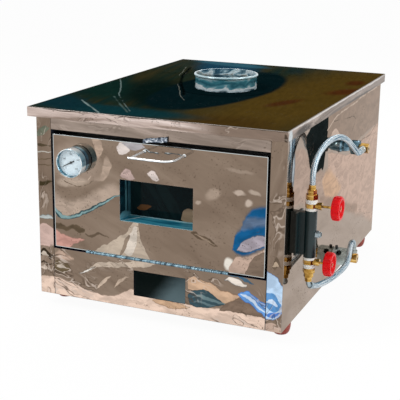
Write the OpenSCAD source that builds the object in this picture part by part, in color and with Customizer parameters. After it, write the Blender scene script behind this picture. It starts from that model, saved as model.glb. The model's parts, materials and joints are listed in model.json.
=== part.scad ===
// Countertop gas pizza oven: folded stainless cabinet, drop-down glazed door,
// two burners fed from a side manifold with needle valves, and a flue collar.
// Cabinet coordinates: X to the right, Y to the back, Z up from the cabinet's
// bottom edge, with X = Y = 0 at the middle of the cabinet.

/* [Cabinet] */
// Width over the side sheets
body_w = 600; // [560:5:680]
// Depth from the front face to the back face
body_d = 820; // [760:5:900]
// Height from the bottom edge to the top of the lid
body_h = 450; // [440:5:500]
// Thickness of the stainless sheet
sheet_t = 1.5; // [1:0.1:2]
// Width of the front stile on each side of the door
stile_w = 37; // [32:1:44]
// Height of the front panel under the door
sill_h = 116; // [112:1:124]
// Height from the lower edge of the top rail to the top of the lid
rail_h = 53; // [46:1:60]
// Width of the flange that each side sheet turns in at the back
back_flange = 22; // [16:1:30]

/* [Lid] */
// Height of the lid's folded lip
lid_lip = 22; // [18:1:28]
// Overhang of the lid past each side sheet
lid_over_side = 7; // [5:0.5:12]
// Overhang of the lid past the front face
lid_over_front = 26; // [18:1:34]
// Overhang of the lid past the back face
lid_over_back = 16; // [8:1:24]

/* [Chamber] */
// Depth of the recess that the door closes into
recess_d = 60; // [50:1:68]
// Thickness of the insulation in each side wall
side_wool_t = 57; // [50:1:64]
// Thickness of the insulation behind the chamber
back_wool_t = 60; // [50:1:70]
// Thickness of the insulation over the chamber
top_wool_t = 75; // [66:1:84]
// Height of the underside of the baking stone
deck_z = 121; // [118:1:126]
// Thickness of the baking stone
stone_t = 15; // [12:1:20]
// Width of each leg of the angle runner under the stone
runner_leg = 25; // [20:1:30]
// Thickness of the angle runner
runner_t = 3; // [2:0.5:4]

/* [Base opening] */
// Width of the lighting opening in the front panel
mouth_w = 127; // [110:1:150]
// Height of the lighting opening
mouth_h = 59; // [50:1:64]
// Height of the lighting opening's lower edge
mouth_z = 31; // [26:1:36]
// Distance of the lighting opening to the right of the middle
mouth_x = 9; // [0:1:20]

/* [Door] */
// Gap between the door and each jamb
door_gap = 5.5; // [4:0.5:8]
// Gap between the door and the top rail
door_top_gap = 10; // [9:0.5:13]
// Gap between the closed door and its seat
seat_gap = 0.5; // [0.3:0.1:1]
// Width of the window
window_w = 178; // [150:1:200]
// Height of the window
window_h = 96; // [80:1:110]
// Drop of the window's middle below the door's upper edge
window_drop = 135; // [125:1:146]
// Thickness of the window glass
glass_t = 4; // [3:0.5:6]
// Ledge that holds the glass at its edge
glass_ledge = 10; // [8:1:14]

/* [Door hinge] */
// Length of the piano hinge
hinge_len = 350; // [300:25:400]
// Length of one knuckle
knuckle_len = 12.5; // [10:2.5:20]
// Outer radius of the knuckles
knuckle_r = 2.8; // [2.5:0.1:2.9]
// Radius of the hinge pin
hinge_pin_r = 1.5; // [1.2:0.1:1.7]
// Thickness of each hinge leaf
leaf_t = 1.2; // [1:0.1:1.4]
// Depth of each hinge leaf
leaf_d = 22; // [18:1:30]

/* [Handle] */
// Distance of the handle's left leg from the middle of the door
handle_left = 27; // [20:1:60]
// Distance of the handle's right leg from the middle of the door
handle_right = 68; // [50:1:80]
// Distance from the door to the middle of the handle's bar
handle_reach = 70; // [50:1:76]
// Diameter of the handle rod
handle_rod_d = 5; // [4:0.5:8]
// Bend radius of the handle's right corner
handle_bend_r = 27; // [16:1:36]
// Drop of the handle below the door's upper edge
handle_drop = 17; // [13:1:40]

/* [Thermometer] */
// Diameter of the thermometer's case
gauge_d = 66; // [60:1:80]
// Depth of the case in front of the door
gauge_depth = 35; // [28:1:40]
// Distance of the thermometer from the middle of the door
gauge_x = 197; // [180:1:205]
// Drop of the thermometer's middle below the door's upper edge
gauge_drop = 55; // [46:1:70]
// Depth from the bezel's front to the dial
dial_drop = 10; // [7:0.5:12]
// Radius of the thermometer's stem
probe_r = 5; // [4:0.5:6]
// Length of the stem inside the chamber
probe_reach = 35; // [20:1:50]

/* [Burners] */
// Diameter of each burner tube
burner_d = 32; // [26:1:36]
// Wall of each burner tube
burner_wall = 2; // [1.5:0.5:3]
// Height of the lower burner
lower_burner_z = 51; // [45:1:60]
// Drop of the upper burner below the chamber roof
upper_burner_drop = 40; // [30:1:50]
// Number of flame ports in each row
port_count = 16; // [10:1:20]
// Diameter of a flame port
port_d = 3; // [2:0.5:4]
// Radius of the lower mixing tube
mixer_r = 20.5; // [18.5:0.5:23]
// Length of the lower mixing tube
mixer_len = 38; // [34:1:42]
// Thickness of an air shutter
shutter_t = 1.4; // [1:0.1:2]
// Diameter of an air hole
air_hole_d = 14; // [8:1:14]
// Radius of the upper mixing bowl
bowl_r = 16; // [14:0.5:18]

/* [Gas train] */
// Diameter of the manifold pipe
manifold_d = 27; // [22:1:30]
// Bore of the manifold pipe
manifold_bore = 21; // [16:1:21]
// Distance from the side sheet to the axis of the manifold pipe
manifold_out = 27; // [24:1:32]
// Distance of the manifold pipe behind the front face
manifold_back = 96; // [80:1:120]
// Height of the lower end of the manifold pipe
manifold_z = 150; // [140:1:160]
// Length of the manifold pipe
manifold_len = 106; // [90:1:120]
// Width across the flats of the valve body
valve_af = 25; // [24:1:28]
// Radius of a valve stem
stem_r = 2.75; // [2.5:0.25:4]
// Diameter of a handwheel
wheel_d = 54; // [46:1:60]
// Thickness of a handwheel
wheel_t = 18; // [14:1:20]
// Distance that a valve stem rises when its valve opens
valve_lift = 12; // [6:1:14]
// Diameter of a gas hose
hose_d = 13; // [11:0.5:15]
// Bore radius of the gas inlet
inlet_r = 4.5; // [3.5:0.5:5]

/* [Flue] */
// Outer diameter of the flue collar
flue_d = 154; // [130:2:170]
// Height of the collar above the lid
flue_h = 38; // [30:1:50]
// Radius of the rolled bead on the collar
bead_r = 3; // [2:0.5:4]
// Diameter of the flange that ties the collar to the lid
flue_flange_d = 240; // [200:5:260]
// Depth of the damper plate below the collar's rim
damper_drop = 16; // [12:1:22]

/* [Feet] */
// Diameter of a foot
foot_d = 44; // [36:1:52]
// Height of a foot
foot_h = 30; // [24:1:36]
// Distance of a foot's middle from the side sheet
foot_in_x = 24; // [23:1:40]
// Distance of a foot's middle from the front or back face
foot_in_y = 72; // [50:1:110]

/* [Hidden] */
$fn = 64;

// Extra length of a cutting tool past the face that it cuts
cut = 1;
// Radial clearance of a turning fit
run_fit = 0.05;
// Clearance between sheets that slide past each other on assembly
seam = 0.4;
// Clearance of a tube in the hole of a sheet
pass_fit = 0.4;

// Faces of the cabinet
half_w = body_w / 2;
half_d = body_d / 2;
side_in = half_w - sheet_t;
top_in = body_h - sheet_t;
back_in = half_d - 2 * sheet_t;
jamb_x = half_w - stile_w;
seat_y = -half_d + recess_d;
rail_z = body_h - rail_h;

// Faces of the chamber
liner_out = side_in - side_wool_t;
liner_in = liner_out - sheet_t;
liner_back_out = back_in - back_wool_t;
liner_back_in = liner_back_out - sheet_t;
roof_top = top_in - top_wool_t;
roof_z = roof_top - sheet_t;
stone_top = deck_z + stone_t;
sill_skirt = 24;
sill_shelf = 14;
pan_turn_up = 15;

// Door and its hinge
door_half_w = jamb_x - door_gap;
door_t = recess_d - seat_gap;
door_back = seat_y - seat_gap;
leaf_space = 1;
hinge_z = sill_h + leaf_t + leaf_space;
hinge_out = 2.4;
hinge_y = -half_d - hinge_out;
door_z0 = hinge_z + leaf_space + leaf_t;
door_z1 = rail_z - door_top_gap;
window_z = door_z1 - window_drop;
handle_z = door_z1 - handle_drop;
gauge_z = door_z1 - gauge_drop;
pair_count = floor(hinge_len / (2 * knuckle_len));
knuckle_gap = 0.3;
hinge_start = -pair_count * knuckle_len;
glass_y = door_back - sheet_t - glass_t;

// Burners
upper_burner_z = roof_z - upper_burner_drop;
burner_hole_r = burner_d / 2 + pass_fit;
burner_x0 = -liner_in + 12;
port_margin = 40;
bowl_x0 = 30;
bowl_x1 = 50;
bowl_wall = 2;
neck_r = 9.5;
gas_way_r = 6;
jet_neck_r = 8;
jet_af = 21;
jet_gap = 3;
jet_len = 19;
upper_port_x = 60;
lower_port_x = 50;
port_r = 7;
ferrule_r = 8.2;
ferrule_len = 28;

// Gas train
manifold_x = half_w + manifold_out;
manifold_y = -half_d + manifold_back;
manifold_r = manifold_d / 2;
manifold_top = manifold_z + manifold_len;
spigot_r = manifold_r - 2;
tape_out_r = manifold_r - 0.3;
spigot_a = 6;
band_len = 10;
spigot_b = 9;
valve_len = spigot_a + band_len + spigot_b;
boss_r = 7.5;
boss_len = 17;
packing_af = 15;
packing_len = 7;
stem_z = spigot_a + band_len / 2;
nut_len_a = 11;
nut_len_b = 21;
hose_nut_len = nut_len_a + nut_len_b;
wheel_r = wheel_d / 2;
stem_seat_x = 3;
seat_play = 0.3;
closed_wheel_x = 46;
open_wheel_x = closed_wheel_x + valve_lift;
stem_end_gap = 1;
stem_len = closed_wheel_x + wheel_t / 2 - stem_end_gap - stem_seat_x - seat_play;
hub_r = 8;
flute_count = 9;
flute_r = 5;
inlet_af = 15;
inlet_hex_len = 6;
inlet_len = 11;

// Flue
flue_r = flue_d / 2;
damper_r = flue_r - sheet_t - 1;
damper_z = body_h + flue_h - damper_drop;
damper_t = 1.5;
spindle_r = 3;

// The part stands on its feet, with the middle of its outer box at the origin
reach_left = half_w + lid_over_side;
reach_right = manifold_x + open_wheel_x + wheel_t / 2;
reach_front = max(half_d + handle_reach + handle_rod_d / 2, half_d + lid_over_front);
reach_back = half_d + lid_over_back;
shift_x = (reach_left - reach_right) / 2;
shift_y = (reach_front - reach_back) / 2;

// Bent crimp tail under the lower hose nut: where it ends and the way it points
tail_bend_r = 10;
tail_turn = 70;
tail_aim = 67.6;
tail_rise = 2;
tail_crimp = 7;
tail_reach = tail_bend_r * (1 - cos(tail_turn)) + tail_crimp * sin(tail_turn);
tail_drop = tail_rise + tail_bend_r * sin(tail_turn) + tail_crimp * cos(tail_turn);
tail_way = [sin(tail_turn) * cos(tail_aim), sin(tail_turn) * sin(tail_aim), -cos(tail_turn)];
lower_nut_end = [manifold_x, manifold_y, manifold_z - valve_len - hose_nut_len];
tail_mouth = lower_nut_end + [tail_reach * cos(tail_aim), tail_reach * sin(tail_aim), -tail_drop];

// Routes of the gas hoses, in cabinet coordinates
upper_route = [
    [327, -314, 313], [327, -314, 335], [328, -305, 358], [330, -285, 376], [334, -255, 389],
    [339, -222, 395], [344, -188, 394], [349, -156, 387], [353, -127, 374], [356, -101, 358],
    [359, -78, 343], [360, -60, 333], [360, -52, 332], [360, -46, 332]
];
lower_route = [
    tail_mouth, tail_mouth + 4 * tail_way, [336.9, -290, 75.4], [340.3, -281.6, 74.3], [344, -271, 73.7],
    [349.5, -250, 73], [354, -226, 72.4], [357.5, -198, 72], [360, -166, 71.8], [361, -140, 71.8],
    [361, -120, 72.6], [360.2, -101, 75.4], [358.2, -83, 80.3], [355.4, -66, 86.6], [352.8, -52, 91.8],
    [350.8, -41, 94.9], [350, -32, 96], [350, -26, 96]
];

// Moves cabinet coordinates into the part's frame
module at_cabinet() {
    translate([shift_x, shift_y, foot_h]) children();
}

// Turns a shape that is drawn along +Z so that it runs along +X
module along_x() {
    rotate([0, 90, 0]) children();
}

// Turns a shape that is drawn along +Z so that it runs along +Y
module along_y() {
    rotate([-90, 0, 0]) children();
}

// Ring of constant section, from z = 0
module ring(outer_r, inner_r, len) {
    difference() {
        cylinder(r = outer_r, h = len);
        translate([0, 0, -cut]) cylinder(r = inner_r, h = len + 2 * cut);
    }
}

// Hexagonal prism given by its width across flats, from z = 0
module hex_prism(across_flats, len) {
    cylinder(d = across_flats / cos(30), h = len, $fn = 6);
}

// Box given by its low and high corners
module span(low, high) {
    translate(low) cube(high - low);
}

// Plan section of a side sheet: wall, stile, jamb and back flange
module side_section() {
    square([sheet_t, body_d]);
    square([stile_w, sheet_t]);
    translate([stile_w - sheet_t, 0]) square([sheet_t, recess_d]);
    translate([0, body_d - sheet_t]) square([back_flange, sheet_t]);
}

module side_sheet() {
    translate([-half_w, -half_d, 0]) linear_extrude(height = top_in) side_section();
}

module left_side() {
    color("silver") at_cabinet() side_sheet();
}

module right_side() {
    color("silver") at_cabinet() difference() {
        mirror([1, 0, 0]) side_sheet();
        for (z = [lower_burner_z, upper_burner_z])
            translate([side_in - cut, 0, z]) along_x() cylinder(r = burner_hole_r, h = sheet_t + 2 * cut);
    }
}

module back_panel() {
    color("silver") at_cabinet()
        span([-side_in + seam, back_in, 0], [side_in - seam, back_in + sheet_t, top_in]);
}

module bottom_pan() {
    pan_x = side_in - seam / 2;
    color("silver") at_cabinet() {
        difference() {
            span([-pan_x, -half_d + sheet_t, 0], [pan_x, back_in, sheet_t]);
            for (side = [0, 1])
                mirror([side, 0, 0])
                    span([jamb_x - seam, -half_d, -cut], [jamb_x + sheet_t + seam, seat_y + seam, sheet_t + cut]);
        }
        for (side = [-1, 1])
            translate([side * (pan_x - sheet_t / 2) - sheet_t / 2, seat_y + 2 * sheet_t, 0])
                cube([sheet_t, back_in - seat_y - 4 * sheet_t, pan_turn_up]);
    }
}

module lower_panel() {
    panel_x = jamb_x - seam;
    color("silver") at_cabinet() difference() {
        union() {
            span([-panel_x, -half_d, 0], [panel_x, -half_d + sheet_t, sill_h]);
            span([-panel_x, -half_d, sill_h - sheet_t], [panel_x, seat_y, sill_h]);
        }
        translate([mouth_x - mouth_w / 2, -half_d - cut, mouth_z]) cube([mouth_w, sheet_t + 2 * cut, mouth_h]);
    }
}

module top_rail() {
    rail_x = jamb_x - seam;
    lower_return = recess_d / 2;
    upper_return = 15;
    color("silver") at_cabinet() {
        span([-rail_x, -half_d, rail_z], [rail_x, -half_d + sheet_t, top_in]);
        span([-rail_x, -half_d, rail_z], [rail_x, -half_d + lower_return, rail_z + sheet_t]);
        span([-rail_x, -half_d, top_in - sheet_t], [rail_x, -half_d + upper_return, top_in]);
    }
}

module lid() {
    low = [-half_w - lid_over_side, -half_d - lid_over_front, body_h - lid_lip];
    high = [half_w + lid_over_side, half_d + lid_over_back, body_h];
    wall = [sheet_t, sheet_t, 0];
    color("silver") at_cabinet() difference() {
        span(low, high);
        span(low + wall - [0, 0, cut], high - wall - [0, 0, sheet_t]);
        translate([0, 0, top_in - cut]) cylinder(r = flue_r + pass_fit, h = sheet_t + 2 * cut);
    }
}

// Chamber wall with the flange that meets the jamb, drawn on the left
module liner_wall() {
    span([-liner_out, seat_y, sheet_t], [-liner_in, liner_back_in, roof_z]);
    span([-side_in, seat_y, sheet_t], [-liner_in, seat_y + sheet_t, top_in]);
}

module liner_left() {
    color("gray") at_cabinet() liner_wall();
}

module liner_right() {
    color("gray") at_cabinet() difference() {
        mirror([1, 0, 0]) liner_wall();
        for (z = [lower_burner_z, upper_burner_z])
            translate([liner_in - cut, 0, z]) along_x() cylinder(r = burner_hole_r, h = sheet_t + 2 * cut);
    }
}

module liner_back() {
    color("gray") at_cabinet() span([-liner_out, liner_back_in, sheet_t], [liner_out, liner_back_out, roof_z]);
}

module liner_roof() {
    color("gray") at_cabinet() difference() {
        union() {
            span([-liner_out, seat_y + sheet_t, roof_z], [liner_out, liner_back_out, roof_top]);
            span([-liner_in, seat_y, roof_z], [liner_in, seat_y + sheet_t, top_in]);
        }
        translate([0, 0, roof_z - cut]) cylinder(r = flue_r + pass_fit, h = sheet_t + 2 * cut);
    }
}

module front_sill() {
    color("gray") at_cabinet() {
        span([-liner_in, seat_y, deck_z - sill_skirt], [liner_in, seat_y + sheet_t, stone_top]);
        span([-liner_in, seat_y, deck_z - sheet_t], [liner_in, seat_y + sill_shelf, deck_z]);
    }
}

module side_insulation() {
    color("khaki") at_cabinet() difference() {
        for (side = [0, 1])
            mirror([side, 0, 0])
                span([-side_in, seat_y + sheet_t, sheet_t + seam], [-liner_out, back_in, top_in]);
        for (z = [lower_burner_z, upper_burner_z])
            translate([liner_out - cut, 0, z])
                along_x() cylinder(r = burner_hole_r, h = side_wool_t + 2 * cut);
        for (side = [-1, 1])
            translate([side * side_in - sheet_t - seam, -half_d, 0])
                cube([2 * (sheet_t + seam), body_d, pan_turn_up + seam]);
    }
}

module back_insulation() {
    color("khaki") at_cabinet()
        span([-liner_out, liner_back_out, sheet_t], [liner_out, back_in, top_in]);
}

module top_insulation() {
    color("khaki") at_cabinet() difference() {
        span([-liner_out, seat_y + sheet_t, roof_top], [liner_out, liner_back_out, top_in]);
        translate([0, 0, roof_top - cut]) cylinder(r = flue_r + pass_fit, h = top_wool_t + 2 * cut);
    }
}

module deck_stone() {
    edge = 2;
    color("tan") at_cabinet()
        span([-liner_in + edge, seat_y + sheet_t + edge, deck_z],
             [liner_in - edge, liner_back_in - edge, stone_top]);
}

// One angle runner on the left chamber wall
module runner() {
    start = seat_y + sill_shelf + seam;
    span([-liner_in, start, deck_z - runner_t], [-liner_in + runner_leg, liner_back_in, deck_z]);
    span([-liner_in, start, deck_z - runner_leg], [-liner_in + runner_t, liner_back_in, deck_z]);
}

module deck_runners() {
    color("dimgray") at_cabinet() {
        runner();
        mirror([1, 0, 0]) runner();
    }
}

// Burner tube with two rows of flame ports, from its closed left end to the side sheet
module burner_tube() {
    ports_from = -liner_in + port_margin;
    pitch = 2 * (liner_in - port_margin) / (port_count - 1);
    difference() {
        translate([burner_x0, 0, 0]) along_x() cylinder(d = burner_d, h = half_w - burner_x0);
        translate([burner_x0 + burner_wall, 0, 0])
            along_x() cylinder(d = burner_d - 2 * burner_wall, h = half_w - burner_x0);
        for (i = [0 : port_count - 1], lean = [-35, 35])
            translate([ports_from + i * pitch, 0, 0])
                rotate([lean, 0, 0]) cylinder(d = port_d, h = burner_d);
    }
}

module upper_burner() {
    color("slategray") at_cabinet() translate([0, 0, upper_burner_z]) rotate([180, 0, 0]) burner_tube();
}

module lower_burner() {
    color("slategray") at_cabinet() translate([0, 0, lower_burner_z]) burner_tube();
}

// Strap that carries a burner's closed end on the left chamber wall
module burner_supports() {
    strap_w = burner_d + 14;
    strap_t = 2;
    strap_len = 22;
    color("dimgray") at_cabinet() for (z = [lower_burner_z, upper_burner_z])
        difference() {
            union() {
                translate([-liner_in, -strap_w / 2, z - strap_w / 2]) cube([strap_t, strap_w, strap_w]);
                translate([-liner_in, 0, z]) along_x() cylinder(d = burner_d + 2 * strap_t + 2 * pass_fit, h = strap_len);
            }
            translate([-liner_in + strap_t, 0, z]) along_x() cylinder(r = burner_hole_r, h = strap_len);
        }
}

// Cast neck and slotted bowl of the upper mixing tube, in front of the side sheet
module upper_mixer() {
    color("steelblue") at_cabinet() translate([half_w, 0, upper_burner_z]) difference() {
        along_x() rotate_extrude() polygon([
            [gas_way_r, 0], [14.5, 0], [14.5, 4], [13, 8], [12.6, 14], [11.4, 20], [neck_r, 26], [neck_r, bowl_x0],
            [bowl_r, bowl_x0], [bowl_r, bowl_x1], [gas_way_r, bowl_x1], [gas_way_r, bowl_x1 - bowl_wall],
            [bowl_r - bowl_wall, bowl_x1 - bowl_wall], [bowl_r - bowl_wall, bowl_x0 + bowl_wall],
            [gas_way_r, bowl_x0 + bowl_wall]
        ]);
        for (a = [45 : 90 : 315])
            translate([(bowl_x0 + bowl_x1) / 2, 0, 0]) rotate([a, 0, 0])
                translate([-5, -4, bowl_r - bowl_wall - cut]) cube([10, 8, bowl_wall + 2 * cut]);
    }
}

module upper_shutter() {
    inner_r = bowl_r + run_fit;
    color("lightsteelblue") at_cabinet() translate([half_w, 0, upper_burner_z]) difference() {
        translate([bowl_x0 + 0.5, 0, 0]) along_x() ring(inner_r + shutter_t, inner_r, bowl_x1 - bowl_x0 - 1);
        for (a = [20 : 90 : 290])
            translate([(bowl_x0 + bowl_x1) / 2, 0, 0]) rotate([a, 0, 0])
                translate([-5, -4, bowl_r - cut]) cube([10, 8, shutter_t + 2 * cut]);
    }
}

// Directions of the two air holes, as turns about the tube's axis from straight up
air_turns = [50, 230];

module lower_mixer() {
    wall = 2;
    color("gainsboro") at_cabinet() translate([half_w, 0, lower_burner_z]) difference() {
        along_x() rotate_extrude() polygon([
            [gas_way_r, 0], [mixer_r, 0], [mixer_r, mixer_len], [gas_way_r, mixer_len],
            [gas_way_r, mixer_len - wall], [mixer_r - wall, mixer_len - wall], [mixer_r - wall, wall], [gas_way_r, wall]
        ]);
        for (a = air_turns)
            translate([16, 0, 0]) rotate([a, 0, 0])
                translate([0, 0, mixer_r / 2]) cylinder(d = air_hole_d, h = mixer_r);
    }
}

module lower_shutter() {
    inner_r = mixer_r + run_fit;
    color("gainsboro") at_cabinet() translate([half_w, 0, lower_burner_z]) difference() {
        translate([3, 0, 0]) along_x() ring(inner_r + shutter_t, inner_r, mixer_len - 6);
        for (a = air_turns)
            translate([16, 0, 0]) rotate([a, 0, 0])
                translate([0, 0, mixer_r / 2]) cylinder(d = air_hole_d, h = mixer_r);
    }
}

module shutter_lock_screw() {
    head_r = 3.5;
    head_h = 7;
    color("black") at_cabinet() translate([half_w + 7.5, 0, lower_burner_z]) rotate([14, 0, 0])
        translate([0, 0, mixer_r + run_fit + shutter_t]) cylinder(r = head_r, h = head_h);
}

// Brass jet holder with its gas port at right angles, drawn along +X from the mixing tube's face
module jet_holder(port_at) {
    difference() {
        union() {
            along_x() cylinder(r = jet_neck_r, h = jet_gap + 1);
            translate([jet_gap, 0, 0]) along_x() rotate([0, 0, 30]) hex_prism(jet_af, jet_len);
            translate([port_at, 0, 0]) cylinder(r = port_r, h = jet_af / 2 + 4);
        }
        translate([-cut, 0, 0]) along_x() cylinder(r = 1.2, h = port_at + cut);
        translate([port_at, 0, 0]) cylinder(r = 3, h = jet_af);
        translate([jet_gap + jet_len - 6, 0, 0]) along_x() cylinder(r = 3.4, h = 6 + cut);
    }
}

module upper_jet() {
    color("goldenrod") at_cabinet() translate([half_w + bowl_x1, 0, upper_burner_z])
        rotate([90, 0, 0]) jet_holder(upper_port_x - bowl_x1);
}

module lower_jet() {
    color("goldenrod") at_cabinet() translate([half_w + mixer_len, 0, lower_burner_z])
        jet_holder(lower_port_x - mixer_len);
}

module manifold_pipe() {
    color("darkslategray") at_cabinet() translate([manifold_x, manifold_y, manifold_z]) difference() {
        ring(manifold_r, manifold_bore / 2, manifold_len);
        translate([0, 0, manifold_len / 2]) along_x() cylinder(r = inlet_r, h = manifold_d);
    }
}

module manifold_bracket() {
    foot_t = 3;
    foot_w = 44;
    web_w = 16;
    margin = 5;
    color("darkslategray") at_cabinet() difference() {
        union() {
            translate([half_w, manifold_y - foot_w / 2, manifold_z + margin])
                cube([foot_t, foot_w, manifold_len - 2 * margin]);
            translate([half_w, manifold_y - web_w / 2, manifold_z + margin])
                cube([manifold_out, web_w, manifold_len - 2 * margin]);
        }
        translate([manifold_x, manifold_y, manifold_z - cut])
            cylinder(r = manifold_r, h = manifold_len + 2 * cut);
    }
}

module gas_inlet() {
    seat = manifold_r - 1;
    color("gainsboro") at_cabinet() translate([manifold_x, manifold_y, manifold_z + manifold_len / 2])
        difference() {
            union() {
                translate([seat, 0, 0]) along_x() hex_prism(inlet_af, inlet_hex_len + 1);
                translate([seat, 0, 0]) along_x() cylinder(r = inlet_r + 1.5, h = inlet_len + 1);
            }
            along_x() cylinder(r = inlet_r, h = 2 * manifold_d);
            cylinder(r = manifold_r, h = manifold_d, center = true);
        }
}

// Needle valve body, drawn upward from the pipe's end, with its stem along +X
module valve_body() {
    difference() {
        union() {
            cylinder(r = spigot_r, h = valve_len);
            translate([0, 0, spigot_a]) hex_prism(valve_af, band_len);
            translate([0, 0, stem_z]) along_x() cylinder(r = boss_r, h = boss_len);
            translate([boss_len, 0, stem_z]) along_x() hex_prism(packing_af, packing_len);
        }
        translate([0, 0, -cut]) cylinder(r = 4, h = valve_len + 2 * cut);
        translate([stem_seat_x, 0, stem_z]) along_x() cylinder(r = stem_r + run_fit, h = boss_len + packing_len);
    }
}

module upper_valve_body() {
    color("goldenrod") at_cabinet() translate([manifold_x, manifold_y, manifold_top]) valve_body();
}

module lower_valve_body() {
    color("goldenrod") at_cabinet() translate([manifold_x, manifold_y, manifold_z])
        mirror([0, 0, 1]) valve_body();
}

// Bands of thread tape on one valve body, cut back round the stem's boss
module tape_pair() {
    difference() {
        union() {
            ring(tape_out_r, spigot_r, spigot_a);
            translate([0, 0, spigot_a + band_len]) ring(tape_out_r, spigot_r, spigot_b);
        }
        translate([0, 0, stem_z]) along_x() cylinder(r = boss_r + pass_fit, h = boss_len);
    }
}

module thread_tape() {
    color("white") at_cabinet() {
        translate([manifold_x, manifold_y, manifold_top]) tape_pair();
        translate([manifold_x, manifold_y, manifold_z]) mirror([0, 0, 1]) tape_pair();
    }
}

// Union nut and hose tail, drawn upward from the valve body
module hose_nut() {
    difference() {
        union() {
            hex_prism(valve_af - 1, nut_len_a);
            translate([0, 0, nut_len_a]) hex_prism(19, nut_len_b / 2);
            translate([0, 0, nut_len_a + nut_len_b / 2])
                cylinder(r1 = 8.6, r2 = hose_d / 2 + 1, h = nut_len_b / 2);
        }
        translate([0, 0, -cut]) cylinder(r = 4, h = hose_nut_len + 2 * cut);
    }
}

module hose_nuts() {
    color("darkgoldenrod") at_cabinet() {
        translate([manifold_x, manifold_y, manifold_top + valve_len]) hose_nut();
        translate([manifold_x, manifold_y, manifold_z - valve_len]) mirror([0, 0, 1]) hose_nut();
    }
}

module valve_stem() {
    along_x() cylinder(r = stem_r, h = stem_len);
}

module upper_valve_stem() {
    color("goldenrod") at_cabinet()
        translate([manifold_x + open_wheel_x + wheel_t / 2 - stem_end_gap - stem_len, manifold_y, manifold_top + stem_z])
            valve_stem();
}

module lower_valve_stem() {
    color("goldenrod") at_cabinet()
        translate([manifold_x + closed_wheel_x + wheel_t / 2 - stem_end_gap - stem_len, manifold_y, manifold_z - stem_z])
            valve_stem();
}

// Fluted handwheel with a dished face, its middle at the origin and its axis along X
module handwheel() {
    rim_in = wheel_r - 8;
    web_t = 6;
    along_x() difference() {
        rotate_extrude() polygon([
            [stem_r + run_fit, -wheel_t / 2 + 2], [hub_r, -wheel_t / 2 + 2], [hub_r, -web_t / 2],
            [rim_in, -web_t / 2], [rim_in, -wheel_t / 2], [wheel_r - 2.5, -wheel_t / 2], [wheel_r, -wheel_t / 2 + 2.5],
            [wheel_r, wheel_t / 2 - 3], [wheel_r - 3, wheel_t / 2], [rim_in + 1, wheel_t / 2],
            [rim_in - 2, web_t / 2], [hub_r, web_t / 2], [hub_r - 1, wheel_t / 2 - 2], [stem_r + run_fit, wheel_t / 2 - 2]
        ]);
        for (i = [0 : flute_count - 1])
            rotate([0, 0, i * 360 / flute_count])
                translate([wheel_r + 2.6, 0, -wheel_t]) cylinder(r = flute_r, h = 2 * wheel_t);
    }
}

module upper_handwheel() {
    color("red") at_cabinet() translate([manifold_x + open_wheel_x, manifold_y, manifold_top + stem_z]) handwheel();
}

module lower_handwheel() {
    color("red") at_cabinet() translate([manifold_x + closed_wheel_x, manifold_y, manifold_z - stem_z]) handwheel();
}

// Tube swept along a route
tube_sides = 12;
function unit(v) = v / norm(v);
function heading(route, i) =
    i == 0 ? unit(route[1] - route[0]) :
    i == len(route) - 1 ? unit(route[i] - route[i - 1]) :
    unit(unit(route[i + 1] - route[i]) + unit(route[i] - route[i - 1]));
// Carries the first ring's side direction along the route without twist
function carried(route, i) =
    i == 0 ? unit(cross(heading(route, 0), [0, 1, 0.001])) :
    let (before = carried(route, i - 1), along = heading(route, i))
    unit(before - along * (before * along));
function ring_points(route, i, r) =
    let (along = heading(route, i), side = carried(route, i), other = cross(along, side))
    [for (k = [0 : tube_sides - 1])
        let (a = 360 * k / tube_sides)
        route[i] + r * (cos(a) * side + sin(a) * other)];

module hose(route) {
    rings = len(route);
    points = [for (i = [0 : rings - 1]) each ring_points(route, i, hose_d / 2)];
    walls = [for (i = [0 : rings - 2], k = [0 : tube_sides - 1], half = [0, 1])
        let (a = i * tube_sides + k, b = i * tube_sides + (k + 1) % tube_sides)
        half == 0 ? [a, b, b + tube_sides] : [a, b + tube_sides, a + tube_sides]];
    first = [for (k = [1 : tube_sides - 2]) [0, k + 1, k]];
    last_ring = (rings - 1) * tube_sides;
    last = [for (k = [1 : tube_sides - 2]) [last_ring, last_ring + k, last_ring + k + 1]];
    polyhedron(points = points, faces = [for (f = concat(walls, first, last)) [f[0], f[2], f[1]]]);
}

module upper_hose() {
    color("lightsteelblue") at_cabinet() hose(upper_route);
}

module lower_hose() {
    color("lightsteelblue") at_cabinet() hose(lower_route);
}

function route_end(route) = route[len(route) - 1];

// Crimped steel ferrule between a jet holder's port and the hose, drawn upward from the port
module ferrule(len) {
    rotate_extrude() polygon([
        [3.2, 0], [ferrule_r + 0.6, 0], [ferrule_r + 0.6, 5], [ferrule_r - 0.6, 6.5], [ferrule_r, 8],
        [ferrule_r, len - 2], [ferrule_r - 1, len], [3.2, len]
    ]);
}

// Quarter of a turn or less of a round bar, bending from upward toward +X; it runs a little
// into the straight parts at both ends
module tail_bend(rise, bend_r, turn, r) {
    over = 3;
    translate([bend_r, 0, rise]) rotate([90, 0, 0]) rotate([0, 0, 180 - turn - over])
        rotate_extrude(angle = turn + 2 * over) translate([bend_r, 0]) circle(r = r);
}

// Bent steel tail that ends in a crimp, drawn upward and bending toward +X
module crimp_tail(rise, bend_r, turn, crimp_r, crimp_len) {
    crimp_at = [bend_r * (1 - cos(turn)), 0, rise + bend_r * sin(turn)];
    difference() {
        union() {
            cylinder(r = 5.8, h = rise);
            if (rise > 8) cylinder(r = ferrule_r + 0.6, h = 6);
            tail_bend(rise, bend_r, turn, 5.2);
            translate(crimp_at) rotate([0, turn, 0]) cylinder(r = crimp_r, h = crimp_len);
        }
        translate([0, 0, -cut]) cylinder(r = 3.6, h = rise + cut);
        tail_bend(rise, bend_r, turn, 3.2);
        translate(crimp_at) rotate([0, turn, 0]) cylinder(r = 3.6, h = crimp_len + cut);
    }
}

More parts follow.
